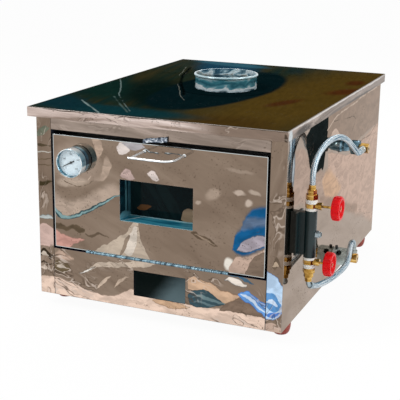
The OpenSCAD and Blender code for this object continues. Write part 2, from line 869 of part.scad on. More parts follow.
module hose_ferrules() {
    port_end = jet_af / 2 + 4;
    elbow_r = 16;
    elbow_z = lower_burner_z + port_end;
    color("lightgray") at_cabinet() {
        translate([half_w + upper_port_x, -port_end, upper_burner_z])
            rotate([90, 0, 0]) ferrule(-route_end(upper_route).y - port_end);
        translate([half_w + lower_port_x, 0, elbow_z]) rotate([0, 0, 270])
            crimp_tail(route_end(lower_route).z - elbow_z - elbow_r, elbow_r, 90,
                       ferrule_r, -route_end(lower_route).y - elbow_r);
        translate(lower_nut_end) rotate([0, 0, tail_aim]) mirror([0, 0, 1])
            crimp_tail(tail_rise, tail_bend_r, tail_turn, 7.6, tail_crimp);
    }
}

module flue_collar() {
    inner = flue_r - sheet_t;
    top = body_h + flue_h;
    hole_r = spindle_r + run_fit;
    color("silver") at_cabinet() difference() {
        union() {
            translate([0, 0, roof_z]) ring(flue_r, inner, top - roof_z - bead_r);
            translate([0, 0, top - bead_r]) rotate_extrude() translate([flue_r, 0]) circle(r = bead_r);
        }
        translate([-flue_d, 0, damper_z]) along_x() cylinder(r = hole_r, h = 2 * flue_d);
        translate([0, 0, top - 3 * bead_r]) cylinder(r = inner, h = 4 * bead_r);
    }
}

module flue_flange() {
    color("silver") at_cabinet() translate([0, 0, body_h])
        ring(flue_flange_d / 2, flue_r + pass_fit, sheet_t);
}

module flue_damper() {
    tab = 14;
    color("silver") at_cabinet() translate([0, 0, damper_z]) {
        cylinder(r = damper_r, h = damper_t, center = true);
        translate([-flue_r + 0.3, 0, 0]) along_x() cylinder(r = spindle_r, h = flue_d - 0.6);
        translate([-tab / 2, -damper_r + 6, 0]) cube([tab, damper_t, 12]);
    }
}

module door_skin() {
    hole_x = window_w / 2;
    color("silver") at_cabinet() difference() {
        span([-door_half_w, -half_d, door_z0], [door_half_w, door_back - sheet_t, door_z1]);
        span([-door_half_w + sheet_t, -half_d + sheet_t, door_z0 + sheet_t],
             [door_half_w - sheet_t, 0, door_z1 - sheet_t]);
        translate([-hole_x, -half_d - cut, window_z - window_h / 2]) cube([window_w, sheet_t + 2 * cut, window_h]);
        translate([-gauge_x, -half_d - cut, gauge_z]) along_y() cylinder(r = probe_r + pass_fit, h = sheet_t + 2 * cut);
    }
}

module door_inner() {
    view_x = window_w / 2 - glass_ledge;
    view_z = window_h / 2 - glass_ledge;
    color("silver") at_cabinet() difference() {
        span([-door_half_w, door_back - sheet_t, door_z0], [door_half_w, door_back, door_z1]);
        translate([-view_x, door_back - sheet_t - cut, window_z - view_z])
            cube([2 * view_x, sheet_t + 2 * cut, 2 * view_z]);
        translate([-gauge_x, door_back - sheet_t - cut, gauge_z])
            along_y() cylinder(r = probe_r + pass_fit, h = sheet_t + 2 * cut);
    }
}

module door_insulation() {
    gap = 0.5;
    hole_x = window_w / 2 + sheet_t + gap;
    hole_z = window_h / 2 + sheet_t + gap;
    color("khaki") at_cabinet() difference() {
        span([-door_half_w + sheet_t, -half_d + sheet_t, door_z0 + sheet_t],
             [door_half_w - sheet_t, door_back - sheet_t, door_z1 - sheet_t]);
        translate([-hole_x, -half_d, window_z - hole_z]) cube([2 * hole_x, recess_d, 2 * hole_z]);
        translate([-gauge_x, -half_d, gauge_z]) along_y() cylinder(r = probe_r + pass_fit, h = recess_d);
    }
}

// Deep folded reveal between the door's skin and its inner sheet
module window_frame() {
    low = [-window_w / 2 - sheet_t, -half_d + sheet_t, window_z - window_h / 2 - sheet_t];
    high = [window_w / 2 + sheet_t, door_back - sheet_t, window_z + window_h / 2 + sheet_t];
    wall = [sheet_t, 0, sheet_t];
    color("silver") at_cabinet() difference() {
        span(low, high);
        span(low + wall - [0, cut, 0], high - wall + [0, cut, 0]);
    }
}

module window_glass() {
    edge = 0.4;
    color("lightblue", 0.4) at_cabinet()
        span([-window_w / 2 + edge, glass_y, window_z - window_h / 2 + edge],
             [window_w / 2 - edge, glass_y + glass_t, window_z + window_h / 2 - edge]);
}

// Rod handle: the left leg is welded behind the bar's end, the right one is bent from the bar
module handle() {
    r = handle_rod_d / 2;
    overshoot = 5;
    weld_t = 1;
    bar_end = handle_right - handle_bend_r;
    right_leg = handle_reach - handle_bend_r;
    color("gainsboro") at_cabinet() translate([0, -half_d, handle_z]) {
        translate([-handle_left - overshoot, -handle_reach, 0])
            along_x() cylinder(r = r, h = bar_end + handle_left + overshoot);
        translate([-handle_left, -handle_reach, 0]) along_y() cylinder(r = r - 0.1, h = handle_reach);
        translate([bar_end, -right_leg, 0])
            rotate([0, 0, 270]) rotate_extrude(angle = 90) translate([handle_bend_r, 0]) circle(r = r);
        translate([handle_right, -right_leg, 0]) along_y() cylinder(r = r, h = right_leg);
        for (x = [-handle_left, handle_right])
            translate([x, -weld_t, 0]) along_y() cylinder(r = 1.6 * r, h = weld_t);
    }
}

// Thermometer case with its bezel and stem, drawn along +Y from the bezel's front
module gauge_case() {
    rim = gauge_d / 2;
    hollow = rim - 2;
    floor_y = dial_drop + 4;
    bezel_lip = 4.2;
    color("gainsboro") at_cabinet() translate([-gauge_x, -half_d - gauge_depth, gauge_z]) {
        along_y() rotate_extrude() polygon([
            [rim - bezel_lip, 0], [rim - 1, 0], [rim, 1], [rim, 4.5], [rim - 0.8, 5.5], [rim - 0.8, gauge_depth],
            [0, gauge_depth], [0, floor_y], [hollow - 0.5, floor_y], [hollow - 0.5, 3.4], [rim - bezel_lip, 3.4]
        ]);
        translate([0, gauge_depth, 0]) along_y() cylinder(r = probe_r, h = recess_d + probe_reach);
    }
}

module gauge_dial() {
    dial_r = gauge_d / 2 - 2.6;
    color("white") at_cabinet() translate([-gauge_x, -half_d - gauge_depth + dial_drop, gauge_z])
        along_y() ring(dial_r, 1.05, 4);
}

// Turn of the pointer at room temperature, as an angle from straight up, clockwise from the front
pointer_turn = -117;

module gauge_pointer() {
    tip = gauge_d / 2 - 9;
    tail = 9;
    t = 0.8;
    lift = 1.6;
    color("black") at_cabinet() translate([-gauge_x, -half_d - gauge_depth + dial_drop - lift, gauge_z])
        rotate([0, pointer_turn, 0]) {
            along_y() linear_extrude(height = t) polygon([[-0.5, -tip], [0.5, -tip], [1.6, tail], [-1.6, tail]]);
            along_y() cylinder(r = 3, h = t);
            along_y() cylinder(r = 1, h = lift + 3);
        }
}

module gauge_lens() {
    lens_r = gauge_d / 2 - 2.6;
    color("white", 0.3) at_cabinet() translate([-gauge_x, -half_d - gauge_depth + 3.5, gauge_z])
        along_y() cylinder(r = lens_r, h = 1.6);
}

// One leaf of the piano hinge: its flat lies back from the pin, and its knuckles start at this offset
module hinge_leaf(flat_low, offset) {
    pitch = 2 * knuckle_len;
    bore_r = hinge_pin_r + run_fit;
    difference() {
        union() {
            translate([hinge_start, 0.6, flat_low]) cube([2 * pair_count * knuckle_len, hinge_out + leaf_d, leaf_t]);
            for (i = [0 : pair_count - 1])
                translate([hinge_start + offset + i * pitch + knuckle_gap / 2, 0, 0])
                    along_x() cylinder(r = knuckle_r, h = knuckle_len - knuckle_gap);
        }
        for (i = [0 : pair_count - 1])
            translate([hinge_start + knuckle_len - offset + i * pitch - knuckle_gap / 2, 0, 0])
                along_x() cylinder(r = knuckle_r + 0.35, h = knuckle_len + knuckle_gap);
        translate([hinge_start - cut, 0, 0])
            along_x() cylinder(r = bore_r, h = 2 * pair_count * knuckle_len + 2 * cut);
    }
}

module door_hinge_leaf() {
    color("lightsteelblue") at_cabinet() translate([0, hinge_y, hinge_z]) hinge_leaf(leaf_space, knuckle_len);
}

module frame_hinge_leaf() {
    color("lightsteelblue") at_cabinet() translate([0, hinge_y, hinge_z]) hinge_leaf(-leaf_space - leaf_t, 0);
}

module hinge_pin() {
    color("gainsboro") at_cabinet() translate([hinge_start, hinge_y, hinge_z])
        along_x() cylinder(r = hinge_pin_r, h = 2 * pair_count * knuckle_len);
}

// Spring clip under the top rail that the door's upper edge snaps past
module door_catch() {
    half = 30;
    dip = 1.6;
    t = 1.2;
    color("lightsteelblue") at_cabinet() {
        translate([-half, -half_d - t, rail_z]) cube([2 * half, t, 12]);
        translate([-half, -half_d - t, rail_z - t]) cube([2 * half, 12, t]);
        translate([0, -half_d + 10, rail_z - t]) rotate([90, 0, 0])
            linear_extrude(height = 10) polygon([[-9, 0], [9, 0], [0, -dip]]);
    }
}

module feet() {
    r = foot_d / 2;
    flat_r = r * 0.55;
    color("firebrick") at_cabinet() for (sx = [-1, 1], sy = [-1, 1])
        translate([sx * (half_w - foot_in_x), sy * (half_d - foot_in_y), -foot_h])
            rotate_extrude() polygon(concat(
                [[0, 0], [flat_r, 0]],
                [for (a = [15 : 15 : 75])
                    [flat_r + (r - flat_r) * sin(a), (foot_h - 6) * (1 - cos(a))]],
                [[r, foot_h - 6], [r, foot_h], [0, foot_h]]
            ));
}

left_side();
right_side();
back_panel();
bottom_pan();
lower_panel();
top_rail();
lid();
liner_left();
liner_right();
liner_back();
liner_roof();
front_sill();
side_insulation();
back_insulation();
top_insulation();
deck_stone();
deck_runners();
upper_burner();
lower_burner();
burner_supports();
upper_mixer();
lower_mixer();
upper_shutter();
lower_shutter();
shutter_lock_screw();
upper_jet();
lower_jet();
manifold_pipe();
manifold_bracket();
gas_inlet();
upper_valve_body();
lower_valve_body();
thread_tape();
hose_nuts();
upper_valve_stem();
lower_valve_stem();
upper_handwheel();
lower_handwheel();
upper_hose();
lower_hose();
hose_ferrules();
flue_collar();
flue_flange();
flue_damper();
door_skin();
door_inner();
door_insulation();
window_frame();
window_glass();
handle();
gauge_case();
gauge_dial();
gauge_pointer();
gauge_lens();
door_hinge_leaf();
frame_hinge_leaf();
hinge_pin();
door_catch();
feet();
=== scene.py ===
import json
import math

import bmesh
import bpy
from mathutils import Matrix, Vector, noise

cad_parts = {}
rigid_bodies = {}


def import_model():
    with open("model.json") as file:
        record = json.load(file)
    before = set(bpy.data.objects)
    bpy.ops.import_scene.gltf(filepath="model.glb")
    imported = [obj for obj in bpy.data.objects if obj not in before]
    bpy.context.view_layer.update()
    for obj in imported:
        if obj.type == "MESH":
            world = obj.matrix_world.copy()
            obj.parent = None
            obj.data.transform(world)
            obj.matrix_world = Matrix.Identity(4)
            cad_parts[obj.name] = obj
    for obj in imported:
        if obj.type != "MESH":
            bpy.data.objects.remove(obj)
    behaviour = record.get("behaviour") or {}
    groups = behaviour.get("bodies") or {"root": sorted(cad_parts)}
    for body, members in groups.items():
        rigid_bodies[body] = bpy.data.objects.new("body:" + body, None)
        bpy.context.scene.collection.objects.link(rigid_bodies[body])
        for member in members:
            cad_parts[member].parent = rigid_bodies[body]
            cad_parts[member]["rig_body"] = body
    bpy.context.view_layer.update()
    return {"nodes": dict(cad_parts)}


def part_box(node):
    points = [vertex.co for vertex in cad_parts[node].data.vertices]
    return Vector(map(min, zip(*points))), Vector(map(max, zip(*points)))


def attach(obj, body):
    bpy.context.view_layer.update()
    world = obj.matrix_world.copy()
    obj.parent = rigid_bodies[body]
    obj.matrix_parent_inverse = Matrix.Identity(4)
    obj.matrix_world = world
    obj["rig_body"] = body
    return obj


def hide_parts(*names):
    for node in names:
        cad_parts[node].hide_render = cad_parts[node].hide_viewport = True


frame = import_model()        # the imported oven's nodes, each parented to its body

parts = frame["nodes"]


# Studio: camera, floor and light
# A seamless white floor under a large soft lamp high on the left and a weaker
# one on the right. The camera stands where the photograph was taken from.

camera = bpy.data.objects.new("camera", bpy.data.cameras.new("camera"))
camera.data.lens = 90.517
camera.data.sensor_width = 36
camera.location = (0.86696, -2.30592, 0.90063)
camera.rotation_euler = [math.radians(a) for a in (74.09, -0.7814, 22.9245)]
bpy.context.scene.collection.objects.link(camera)
bpy.context.scene.camera = camera
bpy.context.scene.view_settings.view_transform = "Standard"


class Signal:
    """One socket of a recipe; a sum written on it adds its Math node."""

    def __init__(self, recipe, socket):
        self.recipe = recipe
        self.socket = socket

    def beside(self, name):
        """Another output of the same node."""
        return Signal(self.recipe, self.socket.node.outputs[name])

    def math(self, operation, *terms):
        return self.recipe.node(
            "ShaderNodeMath", {"operation": operation}, dict(enumerate(terms)))

    def __add__(self, other):
        return self.math("ADD", self, other)

    def __radd__(self, other):
        return self.math("ADD", other, self)

    def __sub__(self, other):
        return self.math("SUBTRACT", self, other)

    def __rsub__(self, other):
        return self.math("SUBTRACT", other, self)

    def __mul__(self, other):
        return self.math("MULTIPLY", self, other)

    def __rmul__(self, other):
        return self.math("MULTIPLY", other, self)

    def __truediv__(self, other):
        return self.math("DIVIDE", self, other)

    def __gt__(self, other):
        return self.math("GREATER_THAN", self, other)

    def __lt__(self, other):
        return self.math("LESS_THAN", self, other)

    def __abs__(self):
        return self.math("ABSOLUTE", self)


class Recipe:
    """A node tree being written, for a finish or for the studio's backdrop."""

    def __init__(self, tree):
        self.tree = tree
        tree.nodes.clear()

    def node(self, kind, settings=None, inputs=None, output=0):
        """Adds a node: its settings first, then the values or links of its sockets."""
        made = self.tree.nodes.new(kind)
        for name, value in (settings or {}).items():
            if name == "stops":
                ramp = made.color_ramp
                ramp.elements.remove(ramp.elements[1])
                ramp.elements[0].position = value[0][0]
                ramp.elements[0].color = (*value[0][1], 1)
                for spot, tone in value[1:]:
                    ramp.elements.new(spot).color = (*tone, 1)
            elif name == "rounded":
                made.color_ramp.interpolation = "CARDINAL"
            else:
                setattr(made, name, value)
        for name, value in (inputs or {}).items():
            socket = made.inputs[name]
            if isinstance(value, Signal):
                self.tree.links.new(value.socket, socket)
            elif socket.type == "RGBA" and len(value) == 3:
                socket.default_value = (*value, 1)
            else:
                socket.default_value = value
        return Signal(self, made.outputs[output]) if made.outputs else None


def seen_directly(recipe):
    """1 for what the camera, a mirror or a pane shows, 0 for what only lights."""
    path = recipe.node("ShaderNodeLightPath", output="Is Camera Ray")
    seen = path.math("MAXIMUM", path, path.beside("Is Glossy Ray"))
    return seen.math("MAXIMUM", seen, path.beside("Is Transmission Ray"))


backdrop_light = 0.62
world = bpy.data.worlds.new("backdrop")
bpy.context.scene.world = world
world.use_nodes = True
backdrop = Recipe(world.node_tree)
backdrop_strength = backdrop_light + (1 - backdrop_light) * seen_directly(backdrop)
backdrop.node("ShaderNodeOutputWorld", {}, {"Surface": backdrop.node(
    "ShaderNodeBackground", {}, {"Color": (1, 1, 1), "Strength": backdrop_strength})})


def new_finish(name):
    material = bpy.data.materials.new(name)
    material.use_nodes = True
    recipe = Recipe(material.node_tree)
    recipe.material = material
    return recipe


def new_piece(name, shape, corner=35):
    """Makes the object of a finished bmesh, round where it bends less than corner."""
    mesh = bpy.data.meshes.new(name)
    shape.to_mesh(mesh)
    shape.free()
    mesh.shade_smooth()
    mesh.set_sharp_from_angle(angle=math.radians(corner))
    piece = bpy.data.objects.new(name, mesh)
    bpy.context.scene.collection.objects.link(piece)
    return piece


floor_shape = bmesh.new()
bmesh.ops.create_grid(floor_shape, x_segments=1, y_segments=1, size=14)
floor = new_piece("floor", floor_shape)
floor_finish = new_finish("floor_paint")
floor_paint = floor_finish.node("ShaderNodeBsdfDiffuse", {}, {"Color": (0.90, 0.90, 0.90)})
floor_glow = floor_finish.node("ShaderNodeEmission", {}, {"Color": (1, 1, 1), "Strength": 1})
floor_finish.node("ShaderNodeOutputMaterial", {}, {"Surface": floor_finish.node(
    "ShaderNodeMixShader", {},
    {0: seen_directly(floor_finish) * 0.95, 1: floor_paint, 2: floor_glow})})
floor.data.materials.append(floor_finish.material)


def soft_lamp(name, place, aim, size, power):
    lamp = bpy.data.objects.new(name, bpy.data.lights.new(name, "AREA"))
    lamp.data.shape = "DISK"
    lamp.data.size = size
    lamp.data.energy = power
    lamp.location = place
    lamp.rotation_euler = (Vector(aim) - Vector(place)).to_track_quat("-Z", "Y").to_euler()
    bpy.context.scene.collection.objects.link(lamp)


soft_lamp("lamp_left", (-1.9, -2.2, 2.9), (0, 0, 0.25), 1.6, 62)
soft_lamp("lamp_right", (2.6, -0.6, 2.0), (0.2, 0, 0.25), 1.4, 34)
soft_lamp("lamp_back", (-0.6, 2.6, 2.4), (0, 0, 0.3), 1.4, 26)


# Gas hoses
# Two rubber hoses in a braid of thin stainless wire, 13 mm thick, crimped at
# both ends. They run from the valves round to the burners' mixing tubes.

hose_thickness = 0.013


def in_frame(points):
    """Points of the cabinet's drawing, in mm, as places in metres."""
    return [Vector(((x - 43.5) / 1000, (y + 28.25) / 1000, (z + 30) / 1000))
            for x, y, z in points]


upper_route = in_frame([
    (327, -314, 313), (327, -314, 335), (328, -305, 358), (330, -285, 376),
    (334, -255, 389), (339, -222, 395), (344, -188, 394), (349, -156, 387),
    (353, -127, 374), (356, -101, 358), (359, -78, 343), (360, -60, 333),
    (360, -52, 332), (360, -46, 332)])
lower_route = in_frame([
    (332.014, -301.835, 79.209), (333.446, -298.360, 77.841), (336.9, -290, 75.4),
    (340.3, -281.6, 74.3), (344, -271, 73.7), (349.5, -250, 73), (354, -226, 72.4),
    (357.5, -198, 72), (360, -166, 71.8), (361, -140, 71.8), (361, -120, 72.6),
    (360.2, -101, 75.4), (358.2, -83, 80.3), (355.4, -66, 86.6), (352.8, -52, 91.8),
    (350.8, -41, 94.9), (350, -32, 96), (350, -26, 96)])


def smooth_run(route, steps=6):
    """The route's points with the rounds between them filled in."""
    line = []
    for i in range(len(route) - 1):
        before, start = route[max(i - 1, 0)], route[i]
        end, after = route[i + 1], route[min(i + 2, len(route) - 1)]
        for step in range(steps):
            t = step / steps
            line.append(0.5 * (
                2 * start + (end - before) * t
                + (2 * before - 5 * start + 4 * end - after) * t ** 2
                + (3 * start - before - 3 * end + after) * t ** 3))
    return line + [route[-1]]


def tube_along(name, line, radius, sides=20):
    """A round tube swept along a line, with a UV map: metres along, turns round."""
    shape = bmesh.new()
    length_layer = shape.loops.layers.uv.new("run")
    rings = []
    side_way = (line[1] - line[0]).orthogonal().normalized()
    for i, point in enumerate(line):
        ahead = (line[min(i + 1, len(line) - 1)] - line[max(i - 1, 0)]).normalized()
        side_way = (side_way - ahead * side_way.dot(ahead)).normalized()
        ring = bmesh.ops.create_circle(
            shape, segments=sides, radius=radius,
            matrix=Matrix.Translation(point) @ Matrix((
                side_way, ahead.cross(side_way), ahead)).transposed().to_4x4())["verts"]
        rings.append(ring)
    run = 0
    for i in range(len(rings) - 1):
        step = (line[i + 1] - line[i]).length
        for s in range(sides):
            corners = [rings[i][s], rings[i][(s + 1) % sides],
                       rings[i + 1][(s + 1) % sides], rings[i + 1][s]]
            face = shape.faces.new(corners)
            turns = [s / sides, (s + 1) / sides, (s + 1) / sides, s / sides]
            runs = [run, run, run + step, run + step]
            for loop, u, v in zip(face.loops, runs, turns):
                loop[length_layer].uv = (u, v)
        run += step
    for ring in (rings[0], rings[-1]):
        shape.faces.new(ring)
    bmesh.ops.recalc_face_normals(shape, faces=shape.faces)
    return new_piece(name, shape, 60), run


def vectors(operation, *terms, output=0, scale=None):
    """Vector Math on signals and plain vectors."""
    recipe = next(t.recipe for t in terms if isinstance(t, Signal))
    inputs = dict(enumerate(terms))
    if scale is not None:
        inputs["Scale"] = scale
    return recipe.node("ShaderNodeVectorMath", {"operation": operation}, inputs, output)


def tinted(amount, first, second, blend="MIX"):
    """The first colour turned into the second by the amount."""
    return amount.recipe.node(
        "ShaderNodeMix", {"data_type": "RGBA", "blend_type": blend},
        {0: amount, 6: first, 7: second}, 2)


def eased(value, low, high):
    """0 below low and 1 above high, with a soft step between; either way round."""
    return value.recipe.node(
        "ShaderNodeMapRange", {"interpolation_type": "SMOOTHSTEP"},
        {"Value": value, "From Min": low, "From Max": high})


def cloudy(place, scale, detail=2.0, rough=0.5, twist=0.0, output=0):
    return place.recipe.node(
        "ShaderNodeTexNoise", {},
        {"Vector": place, "Scale": scale, "Detail": detail, "Roughness": rough,
         "Distortion": twist}, output)


def turned(place, centre=(0, 0, 0), turn=(0, 0, 0), stretch=(1, 1, 1)):
    """The place measured from a centre, after a turn, in lengths of the stretch."""
    return place.recipe.node(
        "ShaderNodeMapping", {"vector_type": "TEXTURE"},
        {"Vector": place, "Location": centre, "Rotation": turn, "Scale": stretch})


def shaded(recipe, values, bump=None, bump_depth=0.001, bump_strength=1.0):
    """Closes a finish with the metal, paint or glass shader and its bump."""
    inputs = dict(values)
    if bump is not None:
        inputs["Normal"] = recipe.node(
            "ShaderNodeBump", {},
            {"Height": bump, "Distance": bump_depth, "Strength": bump_strength})
    recipe.node("ShaderNodeOutputMaterial", {}, {"Surface": recipe.node(
        "ShaderNodeBsdfPrincipled", {}, inputs)})
    return recipe.material


def braided_wire():
    """Bundles of wire crossing in two directions, with long bright and blue streaks of painted
    highlight and reflection, and painted shade where the bundles pass under each other.
    """
    recipe = new_finish("wire_braid")
    run = recipe.node("ShaderNodeUVMap", {"uv_map": "run"})
    parted = recipe.node("ShaderNodeSeparateXYZ", {}, {"Vector": run})
    along, round_it = parted, parted.beside("Y")
    pitch = 0.0046
    bundles = 12
    one_way = (along / pitch + round_it * bundles).math(
        "PINGPONG", along / pitch + round_it * bundles, 0.5)
    other_way = (along / pitch - round_it * bundles).math(
        "PINGPONG", along / pitch - round_it * bundles, 0.5)
    weave = one_way.math("MULTIPLY", one_way * 2, other_way * 2)
    # Long streaks of painted highlight and reflection along the hose.
    streak_place = recipe.node(
        "ShaderNodeCombineXYZ", {}, {"X": along * 9, "Y": (round_it * 6.2832).math(
            "SINE", round_it * 6.2832) * 2.3, "Z": (round_it * 6.2832).math(
            "COSINE", round_it * 6.2832) * 2.3})
    streaks = cloudy(streak_place, 2.1, 3, 0.6, 0.6)
    colour = recipe.node("ShaderNodeValToRGB", {"stops": [
        (0.34, (0.012, 0.060, 0.130)), (0.42, (0.080, 0.230, 0.350)),
        (0.48, (0.360, 0.540, 0.640)), (0.53, (0.860, 0.920, 0.950)),
        (0.72, (0.960, 0.980, 0.990))]}, {"Fac": streaks})
    # Painted shade where the wire bundles pass under each other.
    colour = tinted(eased(weave, 0.30, 0.06) * 0.55, colour, (0.03, 0.07, 0.10))
    return shaded(recipe, {"Base Color": colour, "Metallic": 0.9,
                           "Roughness": 0.28 + 0.2 * eased(weave, 0.5, 0.1)},
                  weave, 0.0005)


braid = braided_wire()
for name, node, route in (("upper_hose_braid", "upper_hose", upper_route),
                          ("lower_hose_braid", "lower_hose", lower_route)):
    line = smooth_run(route)
    hose, run = tube_along(name, line, hose_thickness / 2)
    hose.data.materials.append(braid)
    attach(hose, "cabinet")
    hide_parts(node)


# Cabinet sheets
# 1.2 mm mirror-polished stainless sheet, folded on a press brake and spot
# welded: two sides with front stiles, back, pan, lower panel and top rail.

def eased_copy(node, name, width, steps=2, corner=30):
    """A copy of a CAD part with its folds and edges rounded, standing for it."""
    shape = bmesh.new()
    shape.from_mesh(parts[node].data)
    bmesh.ops.remove_doubles(shape, verts=shape.verts, dist=0.00001)
    bmesh.ops.dissolve_limit(
        shape, angle_limit=math.radians(0.5), verts=shape.verts, edges=shape.edges)
    folds = [edge for edge in shape.edges
             if edge.is_manifold and edge.calc_face_angle(0) > math.radians(corner)]
    bmesh.ops.bevel(shape, geom=folds, offset=width, offset_type="OFFSET",
                    affect="EDGES", segments=steps, profile=0.5, material=-1,
                    clamp_overlap=True)
    for old in shape.faces:
        old.material_index = 0
    piece = new_piece(name, shape)
    piece.data.materials.clear()
    flat = piece.modifiers.new("flat_faces", "WEIGHTED_NORMAL")
    flat.keep_sharp = True
    flat.weight = 100
    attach(piece, parts[node]["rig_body"])
    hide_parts(node)
    return piece


def dress(node, material):
    """Gives a CAD part its finish."""
    mesh = parts[node].data
    mesh.materials.clear()
    mesh.materials.append(material)


def dress_faces(piece, materials, choose):
    """Gives each face the finish that choose(centre, normal) names."""
    names = list(materials)
    for material in materials.values():
        piece.data.materials.append(material)
    for face in piece.data.polygons:
        face.material_index = names.index(choose(face.center, face.normal))


flat_ways = {  # for a sheet that faces the front, a side or up: turn, stretch, spot and axes
    "front": (lambda a: (0, -a, 0), lambda u, v: (u, 1000, v), lambda u, v: (u, 0, v), "XZ"),
    "side": (lambda a: (a, 0, 0), lambda u, v: (1000, u, v), lambda u, v: (0, u, v), "YZ"),
    "top": (lambda a: (0, 0, a), lambda u, v: (u, v, 1000), lambda u, v: (u, v, 0), "XY"),
}


def buckled(place, waves):
    """The place pushed about, as a buckled mirror bends what it shows."""
    for scale, reach in waves:
        push = vectors("SUBTRACT", cloudy(place, scale, 1, output=1), (0.5, 0.5, 0.5))
        place = vectors("ADD", place, vectors("SCALE", push, scale=reach))
    return place


def with_patches(colour, place, way, patches):
    """Lays oval patches of other tones over a colour, as painted reflections: across, up, half
    width, half height, turn in degrees, softness of the edge, tone."""
    turn, stretch, spot, axes = flat_ways[way]
    for across, up, half_width, half_height, angle, soft, tone in patches:
        oval = turned(place, spot(across, up), turn(math.radians(angle)),
                      stretch(half_width, half_height))
        cover = eased(vectors("LENGTH", oval, output=1), 1 + soft / 2, 1 - soft / 2)
        colour = tinted(cover, colour, tone)
    return colour


def with_shapes(colour, place, way, shapes):
    """Lays free shapes over a colour, as painted reflections brightened and darkened within by
    painted folds. Each has the softness of its lower and its upper edge in metres, its tone, the
    tone of its rim or None, and the points (across, lower edge, upper edge) from one end to the
    other."""
    axes = flat_ways[way][3]
    parted = place.recipe.node("ShaderNodeSeparateXYZ", {}, {"Vector": place})
    fray = cloudy(place, 150, 3, 0.6) * 0.003 + 0.4985
    across, up = parted.beside(axes[0]), parted.beside(axes[1]) + fray
    # Painted light and shade within each reflected shape, as the buckled mirror folds what it shows.
    folds = eased(cloudy(turned(place, stretch=(0.05, 0.05, 0.02)), 1, 3, 0.5, 1.0), 0.34, 0.66)
    for soft_low, soft_high, tone, rim, points in shapes:
        first, span = points[0][0], points[-1][0] - points[0][0]
        edges = place.recipe.node(
            "ShaderNodeValToRGB",
            {"stops": [((a - first) / span, (low + 0.5, high + 0.5, 0))
                       for a, low, high in points], "rounded": True},
            {"Fac": (across - first) / span})
        edges = place.recipe.node("ShaderNodeSeparateColor", {}, {"Color": edges})
        over, under = up - edges, edges.beside("Green") - up
        within = (across > first) * (across < points[-1][0])
        cover = (within * eased(over, -soft_low, soft_low)
                 * eased(under, -soft_high, soft_high))
        shown = tinted(folds, tuple(0.82 * c for c in tone),
                       tuple(min(1, 1.14 * c) for c in tone))
        # A rim of another tone round the shape: the painted edge of a reflection.
        if rim:
            core = eased(over, 0, 0.0026) * eased(under, 0, 0.0026)
            shown = tinted(core, rim, shown)
        colour = tinted(cover, colour, shown)
    return colour


def line_distance(place, way, points):
    """Distance to a bent line drawn on a sheet; the place is flattened first."""
    spot = flat_ways[way][2]
    nearest = None
    for start, end in zip(points, points[1:]):
        start, end = Vector(spot(*start)), Vector(spot(*end))
        along = end - start
        offset = vectors("SUBTRACT", place, tuple(start))
        share = vectors("DOT_PRODUCT", offset, tuple(along / along.length_squared), output=1)
        share = share.math("MAXIMUM", share.math("MINIMUM", share, 1), 0)
        foot = vectors("SCALE", offset.recipe.node(
            "ShaderNodeCombineXYZ", {}, dict(enumerate(along))), scale=share)
        gap = vectors("LENGTH", vectors("SUBTRACT", offset, foot), output=1)
        nearest = gap if nearest is None else gap.math("MINIMUM", nearest, gap)
    return nearest


